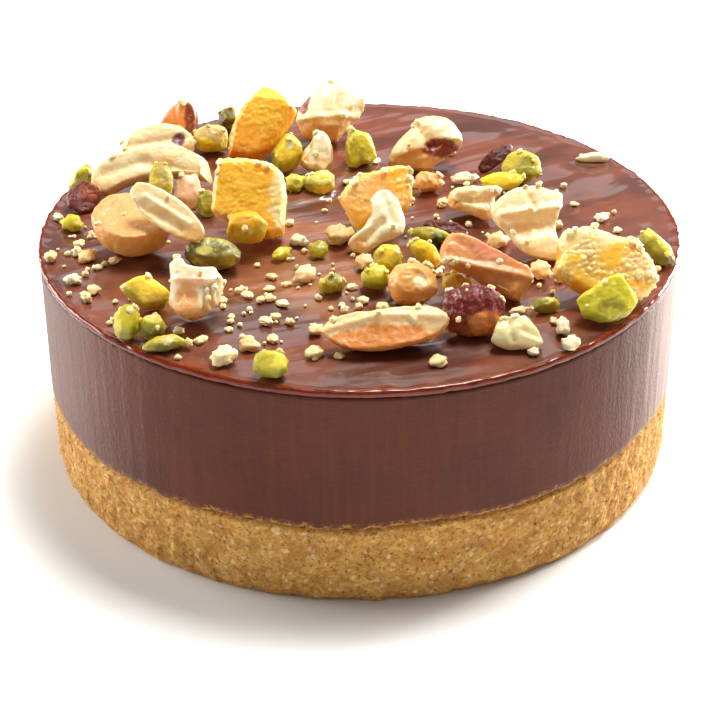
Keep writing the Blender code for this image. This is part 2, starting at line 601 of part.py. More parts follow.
def main():
    clear_scene()
    biscuit_base()
    chocolate_cream()
    glaze = chocolate_glaze()
    top = Topping()
    lay_nuts(top)
    lay_peel(top)
    lay_pistachio(top)
    lay_skins(top)
    stick_crumbs(glaze, top)


if __name__ == "__main__":
    main()
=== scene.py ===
import json
import math
import random
from collections import namedtuple

import bmesh
import bpy
import numpy as np
from bpy.props import FloatProperty, FloatVectorProperty, PointerProperty
from mathutils import Matrix, Vector, noise
from mathutils.bvhtree import BVHTree

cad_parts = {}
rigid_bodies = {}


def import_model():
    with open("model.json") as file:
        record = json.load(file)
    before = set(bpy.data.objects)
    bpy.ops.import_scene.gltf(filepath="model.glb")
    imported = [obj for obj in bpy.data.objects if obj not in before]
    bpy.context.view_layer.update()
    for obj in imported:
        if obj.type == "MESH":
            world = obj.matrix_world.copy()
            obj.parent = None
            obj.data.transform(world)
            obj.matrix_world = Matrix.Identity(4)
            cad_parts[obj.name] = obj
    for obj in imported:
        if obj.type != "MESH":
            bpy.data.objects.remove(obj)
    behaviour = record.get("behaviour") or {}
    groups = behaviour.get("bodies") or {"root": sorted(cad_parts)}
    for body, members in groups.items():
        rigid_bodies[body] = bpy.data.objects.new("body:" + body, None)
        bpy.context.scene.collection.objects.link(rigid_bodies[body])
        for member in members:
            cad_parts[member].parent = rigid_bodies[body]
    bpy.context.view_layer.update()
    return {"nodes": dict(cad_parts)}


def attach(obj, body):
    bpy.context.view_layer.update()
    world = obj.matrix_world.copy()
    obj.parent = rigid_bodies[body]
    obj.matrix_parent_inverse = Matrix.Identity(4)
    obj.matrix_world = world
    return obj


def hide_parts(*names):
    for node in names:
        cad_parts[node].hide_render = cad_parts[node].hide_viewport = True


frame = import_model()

bl_info = {
    "name": "Chocolate tart",
    "version": (1, 0),
    "blender": (4, 5, 0),
    "location": "3D View > Sidebar > Tart",
    "description": "Dresses the solids of a small chocolate tart with nuts, peel and pistachio",
    "category": "Object",
}

MM = 0.001

# The layers, as the solids have them, in millimetres
GLAZE_NODE = "chocolate_glaze"
RADIUS = 40.0
HEIGHT = 29.0
BASE_HEIGHT = 10.3
GLAZE_EDGE = 1.1
GAP = 0.15
RIM_WAVE = 0.25
SEAM_TILT = 0.5
SEAM_WAVE = 0.25
SPREAD_DEPTH = 0.3
SPREAD_ANGLE = math.radians(27)
SPREAD_FADE = 6.0

# Where the photograph was taken from
CAMERA_PLACE = (0.0, -0.21395, 0.1344)
CAMERA_TILT = math.radians(90) - 0.5287
CAMERA_ROLL = -0.0076
CAMERA_LENS = 94.3
SENSOR = 36.0
LOOK_DOWN = 0.5287
TO_VIEWER = np.array([0.0, -math.cos(LOOK_DOWN), math.sin(LOOK_DOWN)])
SEEN_UP = np.array([0.0, math.sin(LOOK_DOWN), math.cos(LOOK_DOWN)])

# How finely the pieces are cut
WALL_COLUMNS = 1120
BASE_ROWS = 52
CREAM_ROWS = 36
SEAM_ROWS = 4
GLAZE_COLUMNS = 480
GLAZE_RINGS = 130

# The biscuit's wall: how far it stands in, where it starts, and how its foot and its shoulder are drawn in
BASE_INSET = 0.15
BASE_START = 0.25
FOOT_INSET = 0.5
FOOT_HEIGHT = 1.5
UNDERSIDE_INSET = 1.25
SHOULDER_INSET = 0.8
SHOULDER_DROP = 0.35
# How far inside the wall the layers' hidden faces have their last ring
BISCUIT_CORE = 6.0
CREAM_CORE = 5.0
GLAZE_CORE = 5.2
# How far below the glaze's edge the cream and the glaze end inside
CREAM_INSIDE = HEIGHT - GLAZE_EDGE - 1.2
GLAZE_INSIDE = HEIGHT - GLAZE_EDGE - 0.9
# How far down the wall the glaze's lip reaches
LIP = 0.85

# Rounding draws a loose piece in, so it starts this much larger, and it settles into the glaze by this much
SWELL = 1.05
SETTLE = 0.35
# How far from a loose piece the glaze wells up, and how high
WELL_REACH = 0.8
WELL_RISE = 0.3

# Colours as the eye reads them, in steps from 0 to 255
IVORY = (250, 238, 202)
CREAM_NUT = (245, 222, 168)
PALE_TAN = (240, 204, 142)
TAN = (236, 184, 112)
GOLD = (230, 166, 84)
TOAST = (222, 144, 66)
AMBER = (202, 104, 34)
CHESTNUT = (136, 60, 20)
PINK_NUT = (240, 192, 148)
MAROON = (100, 28, 10)
PEEL_ORANGE = (248, 176, 34)
PEEL_GOLD = (250, 196, 46)
PEEL_DEEP = (234, 142, 20)
PEEL_PALE = (252, 232, 172)
LEMON = (242, 208, 50)
LIME = (206, 190, 40)
LEAF_GREEN = (160, 152, 34)
OLIVE = (118, 110, 28)
DARK_OLIVE = (96, 78, 20)
SAGE = (212, 196, 112)

# A piece's colours: its broad face, its sides, its lower part up to a share of its height, its broken edges,
# and spots. The lower part's colour is partly painted shade and partly the piece's own deeper colour. A spot
# has its place across and up as shares of the piece, its half width and half height, and a colour.
Look = namedtuple("Look", "face side low share edge spots", defaults=(TAN, 0.0, IVORY, ()))

NUTS = {
    "hazelnut_half": Look((212, 156, 84), GOLD, GOLD, 0.2, CREAM_NUT),
    "almond_slice_long": Look(
        (250, 230, 180), CREAM_NUT, PALE_TAN, 0.36, IVORY, ((0.6, 0.62, 0.12, 0.16, PALE_TAN),)
    ),
    "peanut_half_small": Look(CREAM_NUT, CREAM_NUT, TAN, 0.24, IVORY, ((0.42, 0.5, 0.3, 0.12, PALE_TAN),)),
    "almond_slab_back": Look(
        CREAM_NUT, PALE_TAN, PALE_TAN, 0.3, IVORY, ((0.79, 0.54, 0.1, 0.2, (120, 60, 74)),)
    ),
    "almond_chip_brown": Look(TOAST, CHESTNUT, AMBER, 0.35, GOLD, ((0.88, 0.4, 0.22, 0.6, CHESTNUT),)),
    "nut_block_cut": Look(
        (252, 236, 200),
        CREAM_NUT,
        (240, 180, 112),
        0.26,
        IVORY,
        (
            (0.42, 0.6, 0.3, 0.14, PINK_NUT),
            (0.34, 0.36, 0.24, 0.2, (240, 170, 100)),
            (0.74, 0.3, 0.08, 0.2, PALE_TAN),
        ),
    ),
    "nut_pink": Look(PINK_NUT, PINK_NUT, TAN, 0.3, CREAM_NUT),
    "hazelnut_back": Look(
        (248, 230, 184), CREAM_NUT, GOLD, 0.34, IVORY, ((0.12, 0.64, 0.1, 0.24, CHESTNUT),)
    ),
    "nut_shard": Look(IVORY, CREAM_NUT, PALE_TAN, 0.35, IVORY, ((0.14, 0.3, 0.16, 0.2, TAN),)),
    "nut_hooked": Look(IVORY, CREAM_NUT, CREAM_NUT, 0.3, IVORY, ((0.16, 0.14, 0.2, 0.12, TAN),)),
    "nut_arch": Look(
        CREAM_NUT,
        PALE_TAN,
        TAN,
        0.3,
        IVORY,
        ((0.34, 0.22, 0.22, 0.16, GOLD), (0.7, 0.4, 0.25, 0.17, (138, 40, 14))),
    ),
    "nut_ball_small": Look(TAN, GOLD, GOLD, 0.4, IVORY),
    "nut_stub": Look(CREAM_NUT, PALE_TAN, TAN, 0.3, IVORY, ((0.12, 0.4, 0.14, 0.2, GOLD),)),
    # The pale tan spot along the flake's fold is painted shade in the fold.
    "nut_flake": Look((250, 230, 180), IVORY, CREAM_NUT, 0.2, IVORY, ((0.5, 0.42, 0.24, 0.1, PALE_TAN),)),
    "almond_sliver": Look(IVORY, IVORY, CREAM_NUT, 0.2),
    "almond_wedge": Look(
        (226, 152, 84), (222, 146, 76), TOAST, 0.2, CREAM_NUT, ((0.56, 0.74, 0.34, 0.17, (226, 146, 98)),)
    ),
    "hazelnut_red": Look(
        (110, 30, 24),
        (92, 22, 20),
        (150, 66, 26),
        0.3,
        (190, 112, 96),
        ((0.66, 0.26, 0.26, 0.24, (214, 124, 50)),),
    ),
    "nut_ball": Look((228, 172, 88), GOLD, GOLD, 0.3, PALE_TAN, ((0.66, 0.6, 0.16, 0.2, CREAM_NUT),)),
    # Its orange lower part and the big orange spot low in it are partly painted shade, partly the nut's own
    # colour.
    "peanut_half_front": Look(
        (244, 210, 150), GOLD, (216, 120, 44), 0.2, CREAM_NUT, ((0.54, 0.24, 0.5, 0.36, (226, 140, 56)),)
    ),
    "nut_grained": Look((250, 234, 170), PALE_TAN, PALE_TAN, 0.2, IVORY),
}

# The folds and ridges of the nuts. Each runs from one place to another, across and up as shares of the piece,
# and has its half width and its depth in millimetres: a ridge's depth is below 0.
FOLDS = {
    "hazelnut_half": ((0.35, 0.66, 0.6, 0.66, 2.2, 0.35),),
    "almond_slice_long": ((0.1, 0.4, 0.45, 0.66, 0.7, 0.35), (0.45, 0.66, 0.9, 0.42, 0.7, 0.35)),
    "peanut_half_small": ((0.2, 0.78, 0.8, 0.3, 0.4, -0.3), (0.15, 0.6, 0.7, 0.2, 0.5, 0.25)),
    "almond_slab_back": ((0.1, 0.4, 0.9, 0.62, 0.6, 0.4),),
    "almond_chip_brown": ((0.62, 1.0, 0.55, 0.1, 0.5, -0.4),),
    "nut_block_cut": (
        (0.66, 0.5, 0.68, 0.1, 0.22, 0.45),
        (0.78, 0.55, 0.8, 0.14, 0.22, 0.45),
        (0.9, 0.6, 0.92, 0.2, 0.22, 0.4),
        (0.28, 0.4, 0.44, 0.36, 0.9, 0.4),
        (0.1, 0.64, 0.9, 0.62, 0.3, -0.3),
    ),
    "hazelnut_back": ((0.56, 1.0, 0.48, 0.5, 0.8, 0.5), (0.1, 0.36, 0.9, 0.42, 0.5, -0.4)),
    "nut_shard": ((0.55, 1.0, 0.45, 0.2, 0.4, -0.5), (0.3, 0.6, 0.2, 0.3, 0.5, 0.4)),
    "nut_hooked": ((0.3, 0.2, 0.62, 0.5, 0.5, 0.6), (0.62, 0.9, 0.8, 0.5, 0.5, 0.4)),
    "nut_arch": (
        (0.3, 0.95, 0.52, 0.5, 0.7, 0.7),
        (0.52, 0.42, 0.92, 0.5, 0.5, 0.6),
        (0.1, 0.2, 0.5, 0.3, 0.5, 0.4),
    ),
    "nut_stub": ((0.1, 0.5, 0.75, 0.55, 0.5, 0.5), (0.2, 0.8, 0.9, 0.85, 0.4, -0.3)),
    "nut_flake": (
        (0.2, 0.36, 0.85, 0.5, 1.0, 0.8),
        (0.15, 0.62, 0.95, 0.72, 0.5, -0.4),
        (0.45, 1.0, 0.6, 0.7, 0.4, 0.4),
    ),
    "almond_wedge": ((0.06, 0.6, 0.96, 0.34, 0.5, -0.5), (0.1, 0.4, 0.7, 0.16, 0.9, 0.4)),
    "nut_ball": ((0.6, 0.7, 0.76, 0.6, 0.6, 0.5),),
    "nut_ball_small": ((0.3, 0.8, 0.5, 0.4, 0.4, 0.3),),
    "peanut_half_front": (
        (0.2, 0.4, 0.85, 0.46, 1.3, 0.25),
        (0.06, 0.5, 0.45, 0.8, 0.4, -0.3),
        (0.45, 0.8, 0.95, 0.78, 0.4, -0.3),
    ),
    "nut_grained": ((0.3, 0.9, 0.4, 0.3, 0.4, 0.3), (0.6, 0.6, 0.9, 0.4, 0.4, 0.3)),
    "hazelnut_red": ((0.3, 0.9, 0.35, 0.2, 0.5, 0.4), (0.6, 1.0, 0.75, 0.3, 0.5, 0.35)),
}

# How high the crust of sugar or broken crumb stands on the pieces that have more or less than their kind
CRUSTS = {"peel_right": 0.3, "peel_centre": 0.16, "nut_ball": 0.08, "nut_stub": 0.1}

# The blanched nuts with smooth whole outlines, which aren't chopped
WHOLE_NUTS = (
    "hazelnut_half",
    "peanut_half_small",
    "hazelnut_back",
    "nut_hooked",
    "nut_arch",
    "nut_ball",
    "peanut_half_front",
)

PEELS = {
    "peel_back": Look(
        PEEL_ORANGE, PEEL_ORANGE, PEEL_DEEP, 0.24, PEEL_PALE, ((0.6, 0.7, 0.3, 0.3, PEEL_GOLD),)
    ),
    "peel_left": Look(PEEL_GOLD, PEEL_PALE, PEEL_ORANGE, 0.3, PEEL_PALE, ((0.9, 0.5, 0.14, 0.4, PEEL_PALE),)),
    "peel_centre": Look(
        (244, 196, 110), PEEL_ORANGE, PEEL_ORANGE, 0.3, PEEL_PALE, ((0.8, 0.8, 0.2, 0.2, PEEL_GOLD),)
    ),
    "peel_right": Look(
        PEEL_GOLD,
        PEEL_ORANGE,
        PEEL_ORANGE,
        0.3,
        PEEL_PALE,
        ((0.3, 0.86, 0.34, 0.2, PEEL_PALE), (0.88, 0.5, 0.16, 0.3, PALE_TAN)),
    ),
}

PISTACHIOS = {
    "pistachio_left_rim": Look(LEAF_GREEN, LIME, LEAF_GREEN, 0.3, LIME, ((0.2, 0.4, 0.16, 0.3, SAGE),)),
    # The small sage spot high on the olive pistachio is a painted highlight.
    "pistachio_olive": Look(
        (156, 128, 44), OLIVE, (122, 98, 24), 0.4, LEAF_GREEN, ((0.36, 0.6, 0.16, 0.14, SAGE),)
    ),
    "pistachio_pointed": Look(LEMON, LIME, (170, 130, 20), 0.4, LEMON),
    "pistachio_front_a": Look((222, 196, 66), LIME, LEAF_GREEN, 0.3, SAGE),
    "pistachio_front_b": Look(
        LEAF_GREEN, LEAF_GREEN, OLIVE, 0.5, LEMON, ((0.5, 0.84, 0.4, 0.2, (232, 220, 120)),)
    ),
    "pistachio_front_c": Look((196, 172, 44), LEAF_GREEN, OLIVE, 0.3, SAGE),
    "pistachio_under_slice": Look((190, 160, 34), LEAF_GREEN, LEAF_GREEN, 0.3, LIME),
    "pistachio_shaded": Look((178, 144, 24), LEAF_GREEN, LEAF_GREEN, 0.4, LIME),
    "pistachio_back_left": Look((196, 168, 110), SAGE, LIME, 0.4, SAGE, ((0.35, 0.3, 0.3, 0.24, LEMON),)),
    "pistachio_back_dark": Look((130, 106, 26), OLIVE, DARK_OLIVE, 0.4, SAGE),
    "pistachio_under_peel": Look((224, 168, 22), (222, 166, 20), (210, 150, 20), 0.3, (236, 190, 50)),
    # The small ivory spot on this pistachio is a painted highlight.
    "pistachio_by_peel": Look(LEMON, LIME, LIME, 0.2, LEMON, ((0.6, 0.7, 0.12, 0.14, IVORY),)),
    "pistachio_centre_back": Look((214, 206, 90), SAGE, LEMON, 0.3, (236, 232, 170)),
    "pistachio_upright": Look((216, 196, 50), LIME, LIME, 0.2, (236, 226, 150)),
    "pistachio_middle_upper": Look(LEMON, LIME, LIME, 0.3, LEMON),
    "pistachio_middle_lower": Look((220, 186, 32), LIME, LEAF_GREEN, 0.4, LIME),
    "pistachio_bright": Look((240, 206, 24), LEMON, (226, 170, 20), 0.3, (246, 230, 110)),
    "pistachio_strip": Look(
        (168, 164, 40), LEAF_GREEN, OLIVE, 0.3, LIME, ((0.62, 0.3, 0.16, 0.4, (60, 76, 12)),)
    ),
    "pistachio_gold": Look((226, 178, 56), LEMON, (206, 146, 40), 0.3, LEMON),
    "pistachio_small_round": Look(LIME, LEAF_GREEN, LEAF_GREEN, 0.3, LEMON),
    "pistachio_rim_front": Look(
        LIME, LEAF_GREEN, LEAF_GREEN, 0.3, LEMON, ((0.75, 0.6, 0.2, 0.3, (232, 216, 80)),)
    ),
    "pistachio_dark_front": Look((172, 140, 46), LEAF_GREEN, LEAF_GREEN, 0.4, LIME),
    "pistachio_leaf": Look(
        (204, 190, 30), LIME, LEAF_GREEN, 0.2, LEMON, ((0.55, 0.3, 0.24, 0.2, (160, 146, 24)),)
    ),
    "pistachio_right_rim": Look(LIME, LEAF_GREEN, OLIVE, 0.3, LEMON),
    "pistachio_right_back": Look((190, 172, 44), LIME, LEAF_GREEN, 0.3, LEMON),
    "pistachio_right_bright": Look((238, 212, 24), LEMON, LEMON, 0.3, LEMON),
}

SKINS = {
    "skin_left_rim": Look(
        MAROON, MAROON, MAROON, 0.2, (150, 70, 40), ((0.7, 0.66, 0.3, 0.3, (150, 62, 26)),)
    ),
    "skin_curl": Look((88, 26, 18), MAROON, MAROON, 0.2, (140, 60, 40)),
    "skin_centre": Look((96, 26, 14), MAROON, MAROON, 0.2, (150, 70, 44)),
}


def linear_share(share):
    """One channel, from 0 to 1 as screens show it, as the renderer counts it."""
    if share <= 0.04045:
        return share / 12.92
    return ((share + 0.055) / 1.055) ** 2.4


def linear(colour):
    """A colour in steps from 0 to 255, as the renderer counts it."""
    return tuple(linear_share(step / 255) for step in colour)


def size_property(name, description, size):
    """A size whose default is given in millimetres."""
    return FloatProperty(name=name, description=description, default=size * MM, subtype="DISTANCE")


class TartSizes(bpy.types.PropertyGroup):
    """Sizes that a user would change."""

    voxel: size_property("Cell", "Cell in which a loose piece is remeshed", 0.165)
    crumb_relief: size_property("Crumb relief", "How rough the biscuit wall is", 0.26)
    streak_depth: size_property("Streak depth", "Depth of the knife streaks in the glaze", 0.07)
    flute_depth: size_property("Flute depth", "Depth of the upright flutes in the cream", 0.03)


def colour_property(name, description, colour):
    """A colour whose default is given in steps from 0 to 255."""
    return FloatVectorProperty(
        name=name,
        description=description,
        default=linear(colour),
        min=0.0,
        max=1.0,
        size=3,
        subtype="COLOR",
    )


class TartColours(bpy.types.PropertyGroup):
    """Colours that a user would change."""

    cream: colour_property("Chocolate cream", "The thick set layer", (92, 36, 17))
    cream_dark: colour_property("Darker cream", "Cloudy darker places in it", (78, 31, 15))
    cream_pale: colour_property("Paler cream", "Faint upright streaks in it", (128, 74, 52))
    glaze: colour_property("Glaze", "The glossy top", (118, 58, 36))
    glaze_warm: colour_property("Warm glaze", "Where the glaze is thin and brown", (154, 98, 62))
    glaze_dark: colour_property("Dark glaze", "Creases and deep places in it", (62, 26, 18))
    rim: colour_property("Rim", "The red-brown rounded edge", (122, 38, 8))
    biscuit: colour_property("Biscuit", "The pressed crumb", (206, 146, 66))
    # The toasted crumb colour is also painted as shade into the hollows of the wall.
    biscuit_dark: colour_property("Toasted crumb", "The darker grains in it", (150, 82, 30))
    biscuit_pale: colour_property("Pale crumb", "The paler grains in it", (230, 184, 106))
    floor: colour_property("Ground", "The plain ground", (246, 246, 244))


def as_mm(mesh):
    """The mesh's points in millimetres."""
    points = np.empty(len(mesh.vertices) * 3)
    mesh.vertices.foreach_get("co", points)
    return points.reshape(-1, 3) / MM


def normals_of(mesh):
    """The direction that each point of the mesh faces."""
    normals = np.empty(len(mesh.vertices) * 3)
    mesh.vertices.foreach_get("normal", normals)
    return normals.reshape(-1, 3)


def wander(points, size, octaves=3, seed=0):
    """Smooth noise from about -1 to 1 whose bumps are about that many millimetres apart."""
    shift = np.array([13.7, 7.1, 3.3]) * (seed + 1)
    scaled = np.asarray(points) / size + shift
    return np.array([noise.fractal(place, 1.0, 2.0, octaves) for place in scaled.tolist()])


def lumps(points, size, seed=0):
    """Round lumps about that many millimetres across: 1 at the middle of each, 0 where they meet."""
    shift = np.array([3.1, 17.3, 9.7]) * (seed + 1)
    scaled = np.asarray(points) / size + shift
    near = np.array([noise.voronoi(Vector(place))[0][:2] for place in scaled.tolist()])
    return np.clip((near[:, 1] - near[:, 0]) * 1.6, 0, 1)


def step_up(values, low, high):
    """0 below low, 1 above high, and smooth between them."""
    share = np.clip((np.asarray(values, float) - low) / (high - low), 0, 1)
    return share * share * (3 - 2 * share)


def rim_height(angle):
    """Height of the rim at that angle round the tart: a little uneven at the front."""
    front = (1 - np.sin(angle)) / 2
    return HEIGHT - RIM_WAVE * front * np.cos(3 * angle + 4.3)


def seam_height(angle):
    """Height of the line between biscuit and cream: a little tilted, and wavy."""
    tilt = SEAM_TILT * np.cos(angle - math.radians(325))
    return BASE_HEIGHT + tilt + SEAM_WAVE * (0.6 * np.sin(9 * angle + 1.0) + 0.4 * np.sin(14 * angle + 2.2))


def along_spread(x, y):
    """Distance along and across the strokes of the palette knife."""
    along = x * math.cos(SPREAD_ANGLE) + y * math.sin(SPREAD_ANGLE)
    across = y * math.cos(SPREAD_ANGLE) - x * math.sin(SPREAD_ANGLE)
    return along, across + 2.2 * np.sin(along * 0.075 + 0.6)


def glaze_height(x, y):
    """Height of the glaze as the solid has it: soft ridges that settle level towards the rim."""
    radius = np.hypot(x, y)
    along, bent = along_spread(x, y)
    spread = SPREAD_DEPTH * (np.sin(bent * 0.36 + 0.4) + 0.45 * np.sin(bent * 0.83 + along * 0.05 + 2.0))
    fade = 1 - step_up(radius, RADIUS - SPREAD_FADE - 3, RADIUS - 1.5)
    outward = step_up(radius, 6, RADIUS)
    level = rim_height(np.arctan2(y, x)) * outward + HEIGHT * (1 - outward)
    return level + spread * fade


def mesh_piece(name, points, faces, finish):
    """An object from points in millimetres."""
    mesh = bpy.data.meshes.new(name)
    mesh.from_pydata((np.asarray(points) * MM).tolist(), [], faces)
    mesh.validate()
    mesh.materials.append(finish)
    mesh.shade_smooth()
    made = bpy.data.objects.new(name, mesh)
    bpy.context.scene.collection.objects.link(made)
    return made


def turned(name, rings, foot, head, finish):
    """A closed round piece from rings of points, from its underside's middle to its top's."""
    rows, columns = rings.shape[:2]
    points = np.vstack([rings.reshape(-1, 3), [foot, head]])
    index = np.arange(rows * columns).reshape(rows, columns)
    after = np.roll(index, -1, axis=1)
    walls = np.stack([index[:-1], after[:-1], after[1:], index[1:]], axis=-1).reshape(-1, 4).tolist()
    under = [(rows * columns, b, a) for a, b in zip(index[0].tolist(), after[0].tolist())]
    over = [(rows * columns + 1, a, b) for a, b in zip(index[-1].tolist(), after[-1].tolist())]
    return mesh_piece(name, points, walls + under + over, finish)


def round_rings(radii, heights, angles):
    """Rings of points, where radii and heights have a row for each ring."""
    return np.stack([radii * np.cos(angles), radii * np.sin(angles), heights], axis=-1)


def replace(piece, node):
    """Makes the piece ride on the tart in that node's place."""
    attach(piece, "root")
    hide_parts(node)


class Value:
    """A shader socket. Arithmetic on it adds Math nodes."""

    def __init__(self, finish, socket):
        self.finish = finish
        self.socket = socket

    def maths(self, operation, *values):
        made = self.finish.node("ShaderNodeMath", {"operation": operation}, dict(enumerate(values)))
        return Value(self.finish, made.outputs[0])

    def __add__(self, other):
        return self.maths("ADD", self, other)

    def __radd__(self, other):
        return self.maths("ADD", other, self)

    def __sub__(self, other):
        return self.maths("SUBTRACT", self, other)

    def __rsub__(self, other):
        return self.maths("SUBTRACT", other, self)

    def __mul__(self, other):
        return self.maths("MULTIPLY", self, other)

    def __rmul__(self, other):
        return self.maths("MULTIPLY", other, self)

    def over(self, low, high):
        """0 below low, 1 above high, and smooth between them."""
        settings = {"interpolation_type": "SMOOTHSTEP"}
        sockets = {"Value": self, "From Min": low, "From Max": high}
        return Value(self.finish, self.finish.node("ShaderNodeMapRange", settings, sockets).outputs[0])


class Finish:
    """A material, whose patterns are measured in millimetres on the piece."""

    def __init__(self, name):
        self.material = bpy.data.materials.new(name)
        self.material.use_nodes = True
        self.tree = self.material.node_tree
        self.shader = self.tree.nodes["Principled BSDF"]
        place = self.node("ShaderNodeTexCoord").outputs["Object"]
        self.place = self.vector("MULTIPLY", place, (1 / MM, 1 / MM, 1 / MM))

    def node(self, kind, settings=None, sockets=None):
        """A node of that kind, with its settings and then the values or links of its sockets."""
        made = self.tree.nodes.new(kind)
        for key, value in (settings or {}).items():
            setattr(made, key, value)
        for key, value in (sockets or {}).items():
            self.join(value, made.inputs[key])
        return made

    def join(self, value, socket):
        if isinstance(value, Value):
            value = value.socket
        if isinstance(value, bpy.types.NodeSocket):
            self.tree.links.new(value, socket)
        elif socket.type == "RGBA":
            socket.default_value = (*value[:3], 1.0)
        else:
            socket.default_value = value

    def vector(self, operation, *values):
        made = self.node("ShaderNodeVectorMath", {"operation": operation}, dict(enumerate(values)))
        return made.outputs[0]

    def stretched(self, x, y, z):
        """Places whose distances are divided by these, so that a pattern is drawn out along an axis."""
        return self.vector("MULTIPLY", self.place, (1 / x, 1 / y, 1 / z))

    def turned(self, angle, x, y, z):
        """Places turned round the upright axis and drawn out along the turned axes."""
        settings = {"rotation_type": "Z_AXIS"}
        turn = self.node("ShaderNodeVectorRotate", settings, {"Vector": self.place, "Angle": -angle})
        return self.vector("MULTIPLY", turn.outputs[0], (1 / x, 1 / y, 1 / z))

    def noise(self, size=1.0, detail=3.0, roughness=0.5, place=None):
        """Noise from 0 to 1 whose bumps are about that size."""
        sockets = {"Vector": place or self.place, "Scale": 1 / size, "Detail": detail, "Roughness": roughness}
        return Value(self, self.node("ShaderNodeTexNoise", None, sockets).outputs[0])

    def cells(self, size, output="Distance"):
        """Cells about that size, read as the distance from their middles or as a colour for each."""
        sockets = {"Vector": self.place, "Scale": 1 / size}
        return self.node("ShaderNodeTexVoronoi", None, sockets).outputs[output]

    def cell_value(self, size):
        """A value for each cell, the same all over it."""
        colour = self.cells(size, "Color")
        return Value(self, self.node("ShaderNodeSeparateColor", None, {"Color": colour}).outputs[0])

    def mix(self, share, first, second):
        """The first colour, blended into the second by that share."""
        made = self.node("ShaderNodeMix", {"data_type": "RGBA"})
        # Sockets of one name stand there once for each kind of value, so the colours' go by number
        self.join(share, made.inputs[0])
        self.join(first, made.inputs[6])
        self.join(second, made.inputs[7])
        return made.outputs[2]

    def attribute(self, name):
        return self.node("ShaderNodeAttribute", {"attribute_name": name})

    def mask(self, name):
        """The numbers that the mesh keeps under that name."""
        return Value(self, self.attribute(name).outputs["Fac"])

    def tint(self):
        """The colours that the mesh keeps."""
        return self.attribute("tint").outputs["Color"]

    def bump(self, height, distance, strength=1.0):
        """Relief of that depth in millimetres where height runs from 0 to 1."""
        sockets = {"Height": height, "Distance": distance * MM, "Strength": strength}
        self.join(self.node("ShaderNodeBump", None, sockets).outputs[0], self.shader.inputs["Normal"])

    def set(self, **sockets):
        for key, value in sockets.items():
            self.join(value, self.shader.inputs[key.replace("_", " ")])
        return self.material

    def flesh(self, weight, scale, radius=(1.0, 0.5, 0.25)):
        """Light that passes a little way into the food, with the scale in millimetres."""
        self.shader.inputs["Subsurface Weight"].default_value = weight
        self.shader.inputs["Subsurface Scale"].default_value = scale * MM
        self.shader.inputs["Subsurface Radius"].default_value = radius


def biscuit_finish(colours):
    made = Finish("pressed_biscuit")
    grain = made.cell_value(0.34)
    fine = made.noise(0.3, 4)
    cloud = made.noise(3.4, 4, 0.65)
    pale = grain.over(0.15, 0.75) * 0.55 + cloud.over(0.35, 0.7) * 0.35
    base = made.mix(pale, colours.biscuit, colours.biscuit_pale)
    speck = made.noise(0.5, 3, 0.7)
    toasted = made.mix(speck.over(0.54, 0.64) * cloud.over(0.2, 0.55) * 0.9, base, colours.biscuit_dark)
    sugar = made.cell_value(0.45)
    toasted = made.mix(sugar.over(0.88, 0.96) * 0.6, toasted, linear((250, 226, 170)))
    # Where the wall is pushed in, the toasted crumb colour is painted in as shade.
    hollow = made.mask("hollow")
    shaded = made.mix(hollow.over(0.3, 0.95) * 0.35, toasted, colours.biscuit_dark)
    made.bump(fine * 0.6 + grain * 0.4, 0.16)
    made.flesh(0.15, 0.6)
    made.set(Specular_IOR_Level=0.25)
    return made.set(Base_Color=shaded, Roughness=fine * 0.2 + 0.65)


def cream_finish(colours):
    made = Finish("chocolate_cream")
    cloud = made.noise(9.0, 4, 0.6)
    flute = made.noise(1.0, 3, place=made.stretched(1.1, 1.1, 14.0))
    pits = Value(made, made.cells(1.6)).over(0.03, 0.1)
    base = made.mix(cloud.over(0.35, 0.7), colours.cream, colours.cream_dark)
    base = made.mix(flute.over(0.45, 0.75) * 0.22, base, colours.cream_pale)
    scratch = made.noise(1.0, 3, 0.6, place=made.stretched(4.0, 4.0, 0.2))
    base = made.mix(scratch.over(0.5, 0.75) * 0.12, base, colours.cream_pale)
    speckle = made.noise(0.4, 2)
    seam = made.mask("seam")
    base = made.mix(seam * speckle.over(0.4, 0.6), base, colours.biscuit)
    made.bump(flute * 0.5 + pits * 0.3 + scratch * 0.25 + speckle * 0.5, 0.12)
    made.flesh(0.1, 0.8)
    made.set(Specular_IOR_Level=0.5, Specular_Tint=(1.0, 0.88, 0.8))
    made.set(Anisotropic=0.85, Anisotropic_Rotation=0.25)
    made.set(Sheen_Weight=0.08, Sheen_Roughness=0.4, Sheen_Tint=linear((255, 226, 206)))
    return made.set(Base_Color=base, Roughness=flute * 0.24 + speckle * 0.2 + 0.3)


